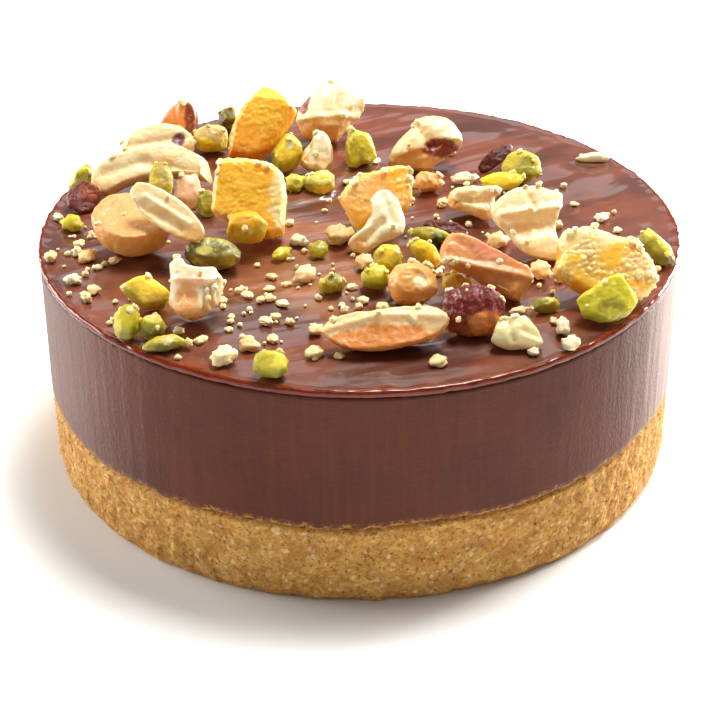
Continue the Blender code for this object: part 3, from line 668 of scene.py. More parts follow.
def glaze_finish(colours):
    made = Finish("chocolate_glaze")
    rim = made.mask("rim")
    cloud = made.noise(8.0, 3, 0.5, place=made.turned(SPREAD_ANGLE, 1.8, 1.0, 1.0))
    stroke = made.noise(1.0, 4, 0.6, place=made.turned(SPREAD_ANGLE, 6.0, 1.0, 1.0))
    base = made.mix(cloud.over(0.42, 0.68) * 0.7, colours.glaze, colours.glaze_dark)
    base = made.mix(made.mask("warm") * 0.75, base, colours.glaze_warm)
    deep = made.noise(12.0, 3, 0.6)
    base = made.mix(deep.over(0.5, 0.62) * 0.45, base, colours.glaze_dark)
    base = made.mix(stroke.over(0.5, 0.75) * 0.3, base, colours.glaze_dark)
    crust = made.noise(0.9, 4, 0.65)
    base = made.mix(rim, base, made.mix(crust.over(0.45, 0.65) * 0.6, colours.rim, colours.glaze_dark))
    base = made.mix(made.mask("wall"), base, colours.cream)
    made.bump(stroke * 0.6 + made.noise(0.6, 3) * 0.4, 0.05, 0.7)
    made.set(Specular_IOR_Level=0.42, Specular_Tint=(1.0, 0.9, 0.84), Coat_Roughness=0.09, Coat_IOR=1.5)
    gloss = (cloud.over(0.3, 0.7) * 0.5 + 0.3) * (1 - rim * 0.8)
    rough = (stroke * 0.24 + 0.26) * (1 - rim * 0.6)
    return made.set(Base_Color=base, Roughness=rough, Coat_Weight=gloss)


def nut_finish():
    made = Finish("nut_flesh")
    fine = made.noise(0.6, 4, 0.6)
    speck = Value(made, made.cells(0.8)).over(0.08, 0.2)
    base = made.mix(fine.over(0.45, 0.8) * 0.2, made.tint(), linear((255, 246, 220)))
    base = made.mix((1 - speck) * 0.14, base, linear(TOAST))
    made.bump(fine + made.noise(0.22, 2) * 0.3, 0.06)
    made.flesh(0.4, 1.2, (1.0, 0.7, 0.4))
    made.set(Coat_Roughness=0.25, Coat_IOR=1.45)
    return made.set(Base_Color=base, Roughness=fine * 0.22 + 0.26, Coat_Weight=fine.over(0.4, 0.7) * 0.2)


def red_nut_finish():
    made = Finish("skinned_hazelnut")
    frost = made.noise(0.45, 5, 0.7)
    base = made.mix(frost.over(0.56, 0.66) * 0.5, made.tint(), linear((226, 150, 140)))
    made.bump(made.noise(0.9, 4, 0.7), 0.2)
    made.set(Coat_Roughness=0.12, Coat_IOR=1.5, Specular_IOR_Level=0.3)
    return made.set(Base_Color=base, Roughness=0.34 + frost * 0.2, Coat_Weight=frost.over(0.4, 0.6) * 0.35)


def peel_finish():
    made = Finish("candied_peel")
    sugar = Value(made, made.cells(0.62))
    fine = made.noise(0.3, 3)
    glow = made.noise(2.4, 3)
    base = made.mix(glow.over(0.4, 0.7) * 0.35, made.tint(), linear((252, 196, 60)))
    base = made.mix(fine.over(0.5, 0.8) * sugar.over(0.2, 0.5) * 0.4, base, linear((255, 230, 160)))
    made.bump((1 - sugar) * 0.3 + fine * 0.5, 0.06)
    made.flesh(0.6, 2.2, (1.0, 0.6, 0.12))
    made.set(Coat_Roughness=0.2, Coat_IOR=1.45)
    return made.set(Base_Color=base, Roughness=fine * 0.2 + 0.28, Coat_Weight=sugar.over(0.1, 0.5) * 0.3)


def pistachio_finish():
    made = Finish("pistachio_flesh")
    fine = made.noise(0.5, 4, 0.6)
    cloud = made.noise(1.6, 3)
    shade = made.noise(2.4, 3, place=made.stretched(1.0, 1.4, 1.0))
    base = made.mix(cloud.over(0.5, 0.7) * 0.45, made.tint(), linear((240, 224, 84)))
    base = made.mix(shade.over(0.48, 0.66) * 0.45, base, linear(OLIVE))
    base = made.mix(fine.over(0.55, 0.8) * 0.3, base, linear(OLIVE))
    made.bump(fine + cloud * 0.3, 0.07)
    made.flesh(0.6, 1.8, (0.9, 1.0, 0.15))
    made.set(Coat_Roughness=0.2, Coat_IOR=1.45)
    return made.set(Base_Color=base, Roughness=fine * 0.24 + 0.32, Coat_Weight=cloud.over(0.4, 0.7) * 0.25)


def skin_finish():
    made = Finish("nut_skin")
    crease = made.noise(0.7, 4, 0.7)
    base = made.mix(crease.over(0.5, 0.8) * 0.4, made.tint(), linear((190, 108, 56)))
    made.bump(crease, 0.2)
    return made.set(Base_Color=base, Roughness=crease * 0.3 + 0.25)


def crumb_finish():
    made = Finish("crumb_grains")
    fine = made.noise(0.4, 3)
    base = made.mix(fine.over(0.35, 0.7) * 0.4, made.tint(), linear((254, 236, 188)))
    made.bump(fine, 0.05)
    made.flesh(0.15, 0.25, (1.0, 0.85, 0.5))
    return made.set(Base_Color=base, Roughness=fine * 0.2 + 0.45)


def store(mesh, name, values):
    """Keeps one number for each point, which the finish reads."""
    layer = mesh.attributes.new(name, "FLOAT", "POINT")
    layer.data.foreach_set("value", np.ascontiguousarray(values, dtype=np.float32))


def store_tint(mesh, colours):
    layer = mesh.color_attributes.new("tint", "FLOAT_COLOR", "POINT")
    full = np.ones((len(colours), 4), dtype=np.float32)
    full[:, :3] = colours
    layer.data.foreach_set("color", full.ravel())


class TART_OT_biscuit(bpy.types.Operator):
    """Makes the pressed biscuit base with its granular wall"""

    bl_idname = "tart.biscuit"
    bl_label = "Biscuit base"

    def execute(self, context):
        relief = context.scene.tart_sizes.crumb_relief / MM
        angles = np.linspace(0, 2 * math.pi, WALL_COLUMNS, endpoint=False)
        top = seam_height(angles) - GAP
        shares = np.linspace(0, 1, BASE_ROWS)[:, None]
        heights = BASE_START + (top - SHOULDER_DROP - BASE_START) * shares
        foot = FOOT_INSET * (1 - step_up(heights, 0, FOOT_HEIGHT))
        radii = np.full_like(heights, RADIUS - BASE_INSET) - foot
        rings = round_rings(radii, heights, angles).reshape(-1, 3)
        grain = 0.7 * lumps(rings, 1.3) + 0.6 * lumps(rings, 0.65, 4)
        rough = relief * (wander(rings, 2.2, 5) + (grain - 0.7) * 0.8)
        near_top = np.repeat(step_up(shares, 0.86, 1.0).ravel(), WALL_COLUMNS)
        ragged = 0.22 * wander(rings, 1.2, 2, 5) * near_top
        outward = rings * (1, 1, 0) / np.linalg.norm(rings[:, :2], axis=1)[:, None]
        walls = rings + outward * rough[:, None]
        walls[:, 2] += ragged
        walls = walls.reshape(BASE_ROWS, WALL_COLUMNS, 3)
        flat = np.zeros((1, WALL_COLUMNS))
        under = round_rings(flat + RADIUS - UNDERSIDE_INSET, flat, angles)
        shoulder = round_rings(flat + RADIUS - SHOULDER_INSET, flat + top, angles)
        inner = round_rings(flat + RADIUS - BISCUIT_CORE, flat + BASE_HEIGHT - GAP, angles)
        rings = np.concatenate([under, walls, shoulder, inner])
        made = turned(
            "pressed_biscuit_base",
            rings,
            (0, 0, 0),
            (0, 0, BASE_HEIGHT - GAP),
            biscuit_finish(context.scene.tart_colours),
        )
        hollow = np.zeros(len(made.data.vertices))
        # A share of painted shade for each point of the wall, larger where the relief pushes it in.
        hollow[WALL_COLUMNS : WALL_COLUMNS * (BASE_ROWS + 1)] = np.clip(0.5 - rough / relief / 1.6, 0, 1)
        store(made.data, "hollow", hollow)
        replace(made, "biscuit_base")
        return {"FINISHED"}


class TART_OT_cream(bpy.types.Operator):
    """Makes the thick layer of set chocolate cream"""

    bl_idname = "tart.cream"
    bl_label = "Chocolate cream"

    def execute(self, context):
        depth = context.scene.tart_sizes.flute_depth / MM
        angles = np.linspace(0, 2 * math.pi, WALL_COLUMNS, endpoint=False)
        low = seam_height(angles) + GAP * 0.4
        top = rim_height(angles) - LIP - 0.04
        shares = np.linspace(0, 1, CREAM_ROWS)[:, None]
        heights = low + (top - low) * shares
        radii = RADIUS - 0.25 * (1 - step_up(heights - low, 0, 0.5))
        rings = round_rings(radii, heights, angles)
        flat = rings.reshape(-1, 3)
        flute = depth * wander(flat * (1, 1, 0.08), 1.6, 3) + 0.05 * wander(flat, 9.0, 2, 3)
        walls = round_rings(radii + flute.reshape(radii.shape), heights, angles)
        ragged = 0.32 * wander(walls[0], 1.6, 4, 7)
        fade = np.linspace(1, 0, SEAM_ROWS)[:, None]
        walls[:SEAM_ROWS, :, 2] += ragged * fade
        level = np.zeros((1, WALL_COLUMNS))
        under = round_rings(level + RADIUS - CREAM_CORE, level + BASE_HEIGHT + GAP, angles)
        over = round_rings(level + RADIUS - CREAM_CORE, level + CREAM_INSIDE, angles)
        rings = np.concatenate([under, walls, over])
        made = turned(
            "set_chocolate_cream",
            rings,
            (0, 0, BASE_HEIGHT + GAP),
            (0, 0, CREAM_INSIDE),
            cream_finish(context.scene.tart_colours),
        )
        seam = np.zeros(len(made.data.vertices))
        above = (heights - low - ragged).ravel() + 0.25 * wander(flat, 0.9, 2, 8)
        seam[WALL_COLUMNS : WALL_COLUMNS * (CREAM_ROWS + 1)] = 1 - step_up(above, 0.1, 0.8)
        store(made.data, "seam", seam)
        replace(made, "chocolate_cream")
        return {"FINISHED"}


# The fold where one stroke of glaze stops on the one before: points along its lip, and its height
FOLD_LIP = ((-13.5, 1.5), (-9.5, 6.2), (-3.7, 9.1), (-1.8, 13.1), (3.5, 15.8))
FOLD_RISE = 0.55
FOLD_FRONT = 1.4
FOLD_BACK = 9.0
# Where the glaze is thin and looks warm: its middle from above, and how far that reaches
WARM_PLACE = (-8.0, -12.0)
WARM_REACH = 23.0


def fold(x, y):
    """Height that the fold adds: a short steep front and a long fade behind it."""
    lip_x, lip_y = np.array(FOLD_LIP).T
    behind = y - np.interp(x, lip_x, lip_y)
    front = step_up(behind, -FOLD_FRONT, 0.2)
    back = 1 - step_up(behind, 1.0, FOLD_BACK)
    ends = step_up(x, lip_x[0] - 2, lip_x[0] + 3) * (1 - step_up(x, lip_x[-1] - 3, lip_x[-1] + 2))
    return FOLD_RISE * front * back * ends


# The rings of the glaze's rounded lip: how far each stands out from the wall, its height, and 1 where that
# counts from the rim
LIP_RINGS = (
    (-GLAZE_CORE, GLAZE_INSIDE, 0.0),
    (-0.6, -LIP, 1.0),
    (-0.06, -LIP, 1.0),
    (0.01, -LIP + 0.12, 1.0),
    (0.07, -LIP + 0.32, 1.0),
    (0.08, -0.34, 1.0),
    (0.02, -0.16, 1.0),
    (-0.08, -0.05, 1.0),
    (-0.2, 0.0, 1.0),
    (-0.42, 0.03, 1.0),
    (-0.7, -0.02, 1.0),
    (-1.1, -0.07, 1.0),
)


class TART_OT_glaze(bpy.types.Operator):
    """Makes the glossy glaze with its knife streaks, its fold and its rounded rim"""

    bl_idname = "tart.glaze"
    bl_label = "Chocolate glaze"

    def execute(self, context):
        angles = np.linspace(0, 2 * math.pi, GLAZE_COLUMNS, endpoint=False)
        top, raised = self.spread_top(angles, context.scene.tart_sizes.streak_depth / MM)
        rings = np.concatenate([self.lip(angles), top])
        centre = float(top[-1, :, 2].mean())
        finish = glaze_finish(context.scene.tart_colours)
        made = turned("spread_glaze", rings, (0, 0, GLAZE_INSIDE), (0, 0, centre), finish)
        self.store_masks(made.data, raised)
        replace(made, GLAZE_NODE)
        return {"FINISHED"}

    def lip(self, angles):
        """The rings of the lip, a little rough."""
        rim = rim_height(angles) + 0.07 * wander(round_rings(RADIUS, 0 * angles, angles), 2.2, 3, 2)
        rings = np.array(
            [
                round_rings(RADIUS + out + 0 * angles, height + rim * share, angles)
                for out, height, share in LIP_RINGS
            ]
        )
        rough = 0.14 * wander(rings[1:].reshape(-1, 3), 1.1, 4, 6).reshape(len(rings) - 1, -1)
        rings[1:, :, 0] += rough * np.cos(angles)
        rings[1:, :, 1] += rough * np.sin(angles)
        rings[1:, :, 2] += 0.6 * rough
        return rings

    def spread_top(self, angles, depth):
        """The rings from the lip to the middle, and how far the fold raises each of their points."""
        radii = np.linspace(RADIUS - 1.5, 0.3, GLAZE_RINGS)[:, None] + 0 * angles
        x, y = radii * np.cos(angles), radii * np.sin(angles)
        along, bent = along_spread(x, y)
        drawn = np.stack([along / 9.0, bent, 0 * bent], axis=-1).reshape(-1, 3)
        streak = wander(drawn, 1.5, 3, 1).reshape(x.shape)
        swell = wander(np.stack([x, y, 0 * x], axis=-1).reshape(-1, 3), 7.0, 2, 4).reshape(x.shape)
        fade = 1 - step_up(radii, RADIUS - 3.5, RADIUS - 1.2)
        raised = fold(x, y)
        heights = glaze_height(x, y) + fade * (depth * streak + 0.16 * swell + raised) - 0.07 * (1 - fade)
        heights += self.wells(np.stack([x, y, heights], axis=-1).reshape(-1, 3)).reshape(x.shape)
        return np.stack([x, y, heights], axis=-1), raised

    def store_masks(self, mesh, raised):
        """Keeps where the glaze is rim or wall, and where it is warm."""
        points = as_mm(mesh)
        outer = np.hypot(points[:, 0], points[:, 1])
        uneven = wander(points, 2.0, 3, 8)
        below = rim_height(np.arctan2(points[:, 1], points[:, 0])) - points[:, 2] + 0.2 * uneven
        side = step_up(outer, RADIUS - 0.3, RADIUS - 0.1)
        store(mesh, "rim", step_up(outer + 0.3 * uneven, RADIUS - 0.7, RADIUS - 0.25))
        store(mesh, "wall", side * step_up(below, LIP * 0.75, LIP * 1.1))
        away = np.hypot(points[:, 0] - WARM_PLACE[0], (points[:, 1] - WARM_PLACE[1]) * 1.5) / WARM_REACH
        warm = 1 - step_up(away + 0.7 * wander(points, 7.0, 3, 9), 0.25, 1.0)
        warm[len(LIP_RINGS) * GLAZE_COLUMNS : -2] += np.clip(raised.ravel() / FOLD_RISE - 0.2, 0, 1) * 0.7
        store(mesh, "warm", np.clip(warm, 0, 1))

    def wells(self, points):
        """How far the glaze rises where it meets a loose piece."""
        tree = joined_tree(loose_objects())
        near = [tree.find_nearest(place, WELL_REACH * MM)[3] for place in (points * MM).tolist()]
        away = np.array([WELL_REACH if gap is None else gap / MM for gap in near])
        return WELL_RISE * (1 - away / WELL_REACH) ** 2


def joined_tree(objects):
    """One search tree over all these objects, in metres."""
    points = []
    faces = []
    for made in objects:
        faces += [[index + len(points) for index in face.vertices] for face in made.data.polygons]
        points += [vert.co.copy() for vert in made.data.vertices]
    return BVHTree.FromPolygons(points, faces)


def loose_objects():
    return [made for made in bpy.data.objects if made.name.endswith("_detail")]


# Up to which angle two triangles join to one flat face, and from which angle an edge counts as sharp
FLAT_ANGLE = math.radians(28)
SHAPE_ANGLE = math.radians(50)
SHARP_ANGLE = math.radians(36)
ROUNDING = 3


def remeshed(node, cell, keenness):
    """The CAD node's form in small even cells, its outline rounded and its sharp edges kept by that share."""
    bm = bmesh.new()
    bm.from_mesh(frame["nodes"][node].data)
    bmesh.ops.remove_doubles(bm, verts=bm.verts, dist=1e-6)
    bmesh.ops.join_triangles(
        bm, faces=bm.faces, angle_face_threshold=FLAT_ANGLE, angle_shape_threshold=SHAPE_ANGLE
    )
    crease = bm.edges.layers.float.new("crease_edge")
    for edge in bm.edges:
        if edge.calc_face_angle(0) > SHARP_ANGLE:
            edge[crease] = keenness
    low = min(vert.co.z for vert in bm.verts)
    middle = sum((vert.co for vert in bm.verts), Vector()) / len(bm.verts)
    middle.z = low
    bmesh.ops.translate(bm, vec=-middle, verts=bm.verts)
    bmesh.ops.scale(bm, vec=(SWELL, SWELL, SWELL), verts=bm.verts)
    bmesh.ops.translate(bm, vec=middle - Vector((0, 0, SETTLE * MM)), verts=bm.verts)
    mesh = bpy.data.meshes.new(node + "_shape")
    bm.to_mesh(mesh)
    bm.free()
    made = bpy.data.objects.new(node + "_detail", mesh)
    bpy.context.scene.collection.objects.link(made)
    rounded = made.modifiers.new("rounded", "SUBSURF")
    rounded.levels = ROUNDING
    rounded.render_levels = ROUNDING
    remesh = made.modifiers.new("cells", "REMESH")
    remesh.mode = "VOXEL"
    remesh.voxel_size = cell
    soften = made.modifiers.new("soften", "SMOOTH")
    soften.factor = 0.5
    soften.iterations = 1
    graph = bpy.context.evaluated_depsgraph_get()
    made.data = bpy.data.meshes.new_from_object(made.evaluated_get(graph))
    made.modifiers.clear()
    made.data.name = node + "_detail"
    return made


def broken_edges(mesh, points, normals):
    """How far each point stands out from its neighbours: 0 on a flat or hollow, 1 on a sharp edge."""
    edges = np.empty(len(mesh.edges) * 2, dtype=np.int64)
    mesh.edges.foreach_get("vertices", edges)
    first, second = edges.reshape(-1, 2).T
    bend = np.zeros(len(points))
    count = np.zeros(len(points))
    for here, there in ((first, second), (second, first)):
        rise = ((points[here] - points[there]) * normals[here]).sum(axis=1)
        np.add.at(bend, here, rise)
        np.add.at(count, here, 1)
    bend /= np.maximum(count, 1)
    for _ in range(3):
        spread = np.zeros(len(points))
        np.add.at(spread, first, bend[second])
        np.add.at(spread, second, bend[first])
        bend = 0.4 * bend + 0.6 * spread / np.maximum(count, 1)
    return step_up(bend, 0.008, 0.034)


def broad_axis(points):
    """The direction that the piece's broad face looks to, turned to the viewer."""
    centred = points - points.mean(axis=0)
    axis = np.linalg.eigh(centred.T @ centred)[1][:, 0]
    return axis if axis @ TO_VIEWER > 0 else -axis


def blend_in(colours, colour, share):
    """The colours of the points, each turned to one more colour by its share."""
    return colours + (np.array(linear(colour)) - colours) * np.asarray(share)[:, None]


def place_shares(points):
    """Where each point lies across and up the piece in the photograph, from 0 to 1, and the piece's size."""
    seen = np.stack([points[:, 0], points @ SEEN_UP], axis=-1)
    size = np.ptp(seen, axis=0)
    return (seen - seen.min(axis=0)) / size, size


def folded(points, normals, folds):
    """How far the folds push in each point of the side that the photograph shows."""
    shares, size = place_shares(points)
    push = np.zeros(len(points))
    for *ends, width, depth in folds:
        start, finish = np.array(ends).reshape(2, 2) * size
        run = finish - start
        offset = shares * size - start
        along = np.clip(offset @ run / (run @ run), 0, 1)
        away = np.linalg.norm(offset - along[:, None] * run, axis=1)
        push += depth * np.exp(-((away / width) ** 2))
    return push * step_up(normals @ TO_VIEWER, -0.1, 0.5)


def painted(look, mesh, points, normals, seed):
    """The colour of each point of a loose piece."""
    blur = wander(points, 1.3, 3, seed)
    face = step_up(normals @ broad_axis(points) + 0.15 * blur, 0.35, 0.8)
    across, up = place_shares(points)[0].T
    colours = np.tile(linear(look.side), (len(points), 1))
    colours = blend_in(colours, look.face, face)
    # The lower part of the piece as seen takes the low colour: partly painted shade, partly its own deeper
    # colour.
    if look.share:
        low = 1 - step_up(up + 0.1 * blur, look.share * 0.4, look.share * 1.6)
        colours = blend_in(colours, look.low, low)
    for middle, height, wide, tall, colour in look.spots:
        away = np.hypot((across - middle) / wide, (up - height) / tall) + 0.3 * blur
        colours = blend_in(colours, colour, 1 - step_up(away, 0.75, 1.1))
    edges = broken_edges(mesh, points, normals)
    store(mesh, "edge", edges)
    return blend_in(colours, look.edge, 0.75 * edges * step_up(blur, -0.5, 0.2))


# Between which shares of the piece's reach a chip starts, and how flat it is
CHIP_START = (0.76, 0.93)
CHIP_FLATNESS = 0.9


def chipped(points, cuts, rng):
    """The piece with that many shallow flat chips off it."""
    middle = points.mean(axis=0)
    points = points - middle
    for _ in range(cuts):
        direction = np.array([rng.gauss(0, 1) for _ in range(3)])
        direction /= np.linalg.norm(direction)
        reach = points @ direction
        over = np.clip(reach - reach.max() * rng.uniform(*CHIP_START), 0, None)
        points -= np.outer(CHIP_FLATNESS * over, direction)
    return points + middle


# How a kind of piece is made: the height and the size of its bumps in millimetres, the share of its sharp
# edges that stays, how many chips are off it, and the height of the sugar or broken crumb on parts of it
Kind = namedtuple("Kind", "bump size keenness cuts crust", defaults=(0.5, 0, 0.0))
WHOLE_NUT = Kind(0.11, 1.7)
CHOPPED_NUT = Kind(0.11, 1.7, 0.9, 5)
RED_NUT = Kind(0.2, 1.7)
PEEL_DICE = Kind(0.12, 1.6, 0.85, 2, 0.11)
PISTACHIO_BIT = Kind(0.1, 1.3, 0.9, 9, 0.05)
SKIN_FLAKE = Kind(0.12, 0.9)


def loose_piece(context, node, look, finish, kind):
    """Remeshes a loose piece, chips and roughens it as its kind says, and colours it."""
    made = remeshed(node, context.scene.tart_sizes.voxel, kind.keenness)
    seed = sum(map(ord, node)) % 97
    points = chipped(as_mm(made.data), kind.cuts, random.Random(node))
    made.data.vertices.foreach_set("co", (points * MM).ravel())
    made.data.update()
    normals = normals_of(made.data)
    fine = 0.4 * wander(points, kind.size * 0.35, 2, seed + 1)
    relief = kind.bump * (wander(points, kind.size, 4, seed) + fine)
    relief -= folded(points, normals, FOLDS.get(node, ()))
    relief += 0.22 * broken_edges(made.data, points, normals) * (wander(points, 0.7, 3, seed + 3) - 0.3)
    crust = CRUSTS.get(node, kind.crust)
    patches = step_up(wander(points, 2.6, 2, seed + 2), -0.35, 0.25)
    if crust:
        grains = lumps(points, 0.8, seed) + 0.5 * lumps(points, 0.45, seed + 5)
        relief += crust * patches * (grains + 0.4 * wander(points, 0.4, 2, seed + 1) - 0.6)
    points = points + normals * relief[:, None]
    made.data.vertices.foreach_set("co", (points * MM).ravel())
    made.data.update()
    colours = painted(look, made.data, points, normals_of(made.data), seed)
    store_tint(made.data, blend_in(colours, look.edge, np.clip(patches * (crust - 0.11) * 4, 0, 0.45)))
    made.data.materials.clear()
    made.data.materials.append(finish)
    made.data.shade_smooth()
    replace(made, node)


class TART_OT_nuts(bpy.types.Operator):
    """Makes the nuts: halves, slices and chopped pieces"""

    bl_idname = "tart.nuts"
    bl_label = "Nuts"

    def execute(self, context):
        flesh = nut_finish()
        skinned = red_nut_finish()
        for node, look in NUTS.items():
            if node == "hazelnut_red":
                loose_piece(context, node, look, skinned, RED_NUT)
            else:
                loose_piece(context, node, look, flesh, WHOLE_NUT if node in WHOLE_NUTS else CHOPPED_NUT)
        return {"FINISHED"}


class TART_OT_peel(bpy.types.Operator):
    """Makes the diced candied peel with its sugar grain"""

    bl_idname = "tart.peel"
    bl_label = "Candied peel"

    def execute(self, context):
        finish = peel_finish()
        for node, look in PEELS.items():
            loose_piece(context, node, look, finish, PEEL_DICE)
        return {"FINISHED"}


class TART_OT_pistachio(bpy.types.Operator):
    """Makes the pistachio kernels, halves and chips"""

    bl_idname = "tart.pistachio"
    bl_label = "Pistachio"

    def execute(self, context):
        finish = pistachio_finish()
        for node, look in PISTACHIOS.items():
            loose_piece(context, node, look, finish, PISTACHIO_BIT)
        return {"FINISHED"}


class TART_OT_skins(bpy.types.Operator):
    """Makes the thin curled flakes of dark nut skin"""

    bl_idname = "tart.skins"
    bl_label = "Nut skins"

    def execute(self, context):
        finish = skin_finish()
        for node, look in SKINS.items():
            loose_piece(context, node, look, finish, SKIN_FLAKE)
        return {"FINISHED"}


def grain_shapes():
    """The directions and faces of three balls, each finer than the last, from which the grains are made."""
    shapes = []
    for finer in (2, 3, 4):
        bm = bmesh.new()
        bmesh.ops.create_icosphere(bm, subdivisions=finer, radius=1.0)
        directions = np.array([vert.co for vert in bm.verts])
        shapes.append((directions, [[vert.index for vert in face.verts] for face in bm.faces]))
        bm.free()
    return shapes


# A grain as a cluster of lumps: its core, how many lumps it has, how far out they stand and how large they
# are, as shares of its own half size
CLUSTER_CORE = 0.64
CLUSTER_LUMPS = (26, 36)
LUMP_PLACES = (0.54, 0.74)
LUMP_SIZES = (0.17, 0.27)


def clustered(directions, rng):
    """A cluster of small round lumps as one skin: how far it reaches in each direction, up to about 1."""
    reach = np.full(len(directions), CLUSTER_CORE)
    for _ in range(rng.randint(*CLUSTER_LUMPS)):
        middle = np.array([rng.gauss(0, 1) for _ in range(3)])
        middle *= rng.uniform(*LUMP_PLACES) / np.linalg.norm(middle)
        size = rng.uniform(*LUMP_SIZES)
        ahead = directions @ middle
        inside = ahead**2 - middle @ middle + size**2
        reach = np.maximum(reach, np.where(inside > 0, ahead + np.sqrt(np.maximum(inside, 0)), 0))
    return reach


# From which sizes a grain is made from the second and from the third ball. The crumbs of the glaze's solid
# stop at the second.
FINER_FROM = (0.8, 1.9)
SECOND_BALL = 1
THIRD_BALL = 2
FULL_TURN = 6.28


class Grains:
    """Collects grains of one colour family, which become one piece."""

    def __init__(self):
        self.points = []
        self.faces = []
        self.tints = []
        self.count = 0
        self.shapes = grain_shapes()

    def add(self, middle, size, normal, colour, rng, finest=THIRD_BALL):
        """A grain of three sizes in millimetres, whose third runs along the normal."""
        ball = min(finest, sum(max(size) > limit for limit in FINER_FROM))
        directions, faces = self.shapes[ball]
        shape = directions * clustered(directions, rng)[:, None] * (np.array(size) / 2)
        turn = Vector(normal).to_track_quat("Z", "Y").to_matrix()
        turn = turn @ Matrix.Rotation(rng.uniform(0, FULL_TURN), 3, "Z")
        self.points.append(shape @ np.array(turn).T + np.array(middle))
        self.faces += [[index + self.count for index in face] for face in faces]
        shade = rng.uniform(0.86, 1.06)
        self.tints.append(np.tile(np.clip(np.array(linear(colour)) * shade, 0, 1), (len(directions), 1)))
        self.count += len(directions)

    def finish(self, name, finish):
        made = mesh_piece(name, np.concatenate(self.points), self.faces, finish)
        store_tint(made.data, np.concatenate(self.tints))
        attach(made, "root")
        return made


# Above this height over the glaze, the glaze's solid is a crumb or chip
CRUMB_RISE = 0.25


def solid_grains():
    """The place and size of each crumb that the glaze's solid carries."""
    bm = bmesh.new()
    bm.from_mesh(frame["nodes"][GLAZE_NODE].data)
    bmesh.ops.remove_doubles(bm, verts=bm.verts, dist=1e-6)
    bm.verts.ensure_lookup_table()
    places = np.array([vert.co for vert in bm.verts]) / MM
    raised = places[:, 2] - glaze_height(places[:, 0], places[:, 1]) > CRUMB_RISE
    seen = set()
    found = []
    for start in np.flatnonzero(raised).tolist():
        if start in seen:
            continue
        group = []
        waiting = [start]
        seen.add(start)
        while waiting:
            index = waiting.pop()
            group.append(index)
            for edge in bm.verts[index].link_edges:
                other = edge.other_vert(bm.verts[index]).index
                if raised[other] and other not in seen:
                    seen.add(other)
                    waiting.append(other)
        corners = places[group]
        found.append((corners.mean(axis=0), np.ptp(corners, axis=0)))
    bm.free()
    return found


# A crumb's skin falls short of its size, so it is made this much wider and taller than its solid. Its middle
# is this share of its height over the glaze.
CRUMB_WIDER = 1.45
CRUMB_TALLER = 1.4
CRUMB_LIFT = 0.36
CRUMB_COLOURS = (
    (248, 224, 162),
    (252, 234, 184),
    (242, 210, 144),
    (250, 236, 194),
    (246, 218, 152),
    PALE_TAN,
)
# Where the larger grains are chips of pistachio or of darker nut, from above
GREEN_CHIPS = ((-36, 0), (-8.5, 10.5), (-9.5, -8), (-5, -8))
BROWN_CHIPS = ((-2.5, -4.5), (0.5, -11.5), (21.5, -14), (17, -6.5), (-12.5, -30.5), (-33, -9.5))
CHIP_REACH = 1.0
# How many grains cling to the edges of the pieces that have more or fewer than their kind
FRINGES = {
    "peel_back": 2,
    "peel_left": 6,
    "peel_right": 34,
    "peel_centre": 16,
    "hazelnut_half": 2,
    "almond_slice_long": 1,
    "peanut_half_small": 1,
    "nut_block_cut": 10,
    "nut_hooked": 1,
    "nut_ball": 8,
    "nut_stub": 9,
    "almond_wedge": 8,
    "hazelnut_red": 9,
    "almond_sliver": 1,
}
# The small grains on the edges, and the dust: its patches have a place from above and a spread
FRINGE_SIZES = (0.6, 1.3)
DUST = 330
FINE_DUST = (0.4, 1.0)
COARSE_DUST = (1.0, 1.7)
FINE_SHARE = 0.72
SKIPPED_ON_PIECES = 0.75
DROP_HEIGHT = 60.0
DUST_PATCHES = (
    (-24, -18, 14),
    (-10, -20, 14),
    (3, -12, 20),
    (24, -14, 12),
    (16, -3, 11),
    (-31, -6, 9),
    (2, 4, 30),
)


def near_any(place, chips):
    """Whether that place is at one of the chips."""
    return any(np.hypot(*(place - chip)) < CHIP_REACH for chip in chips)


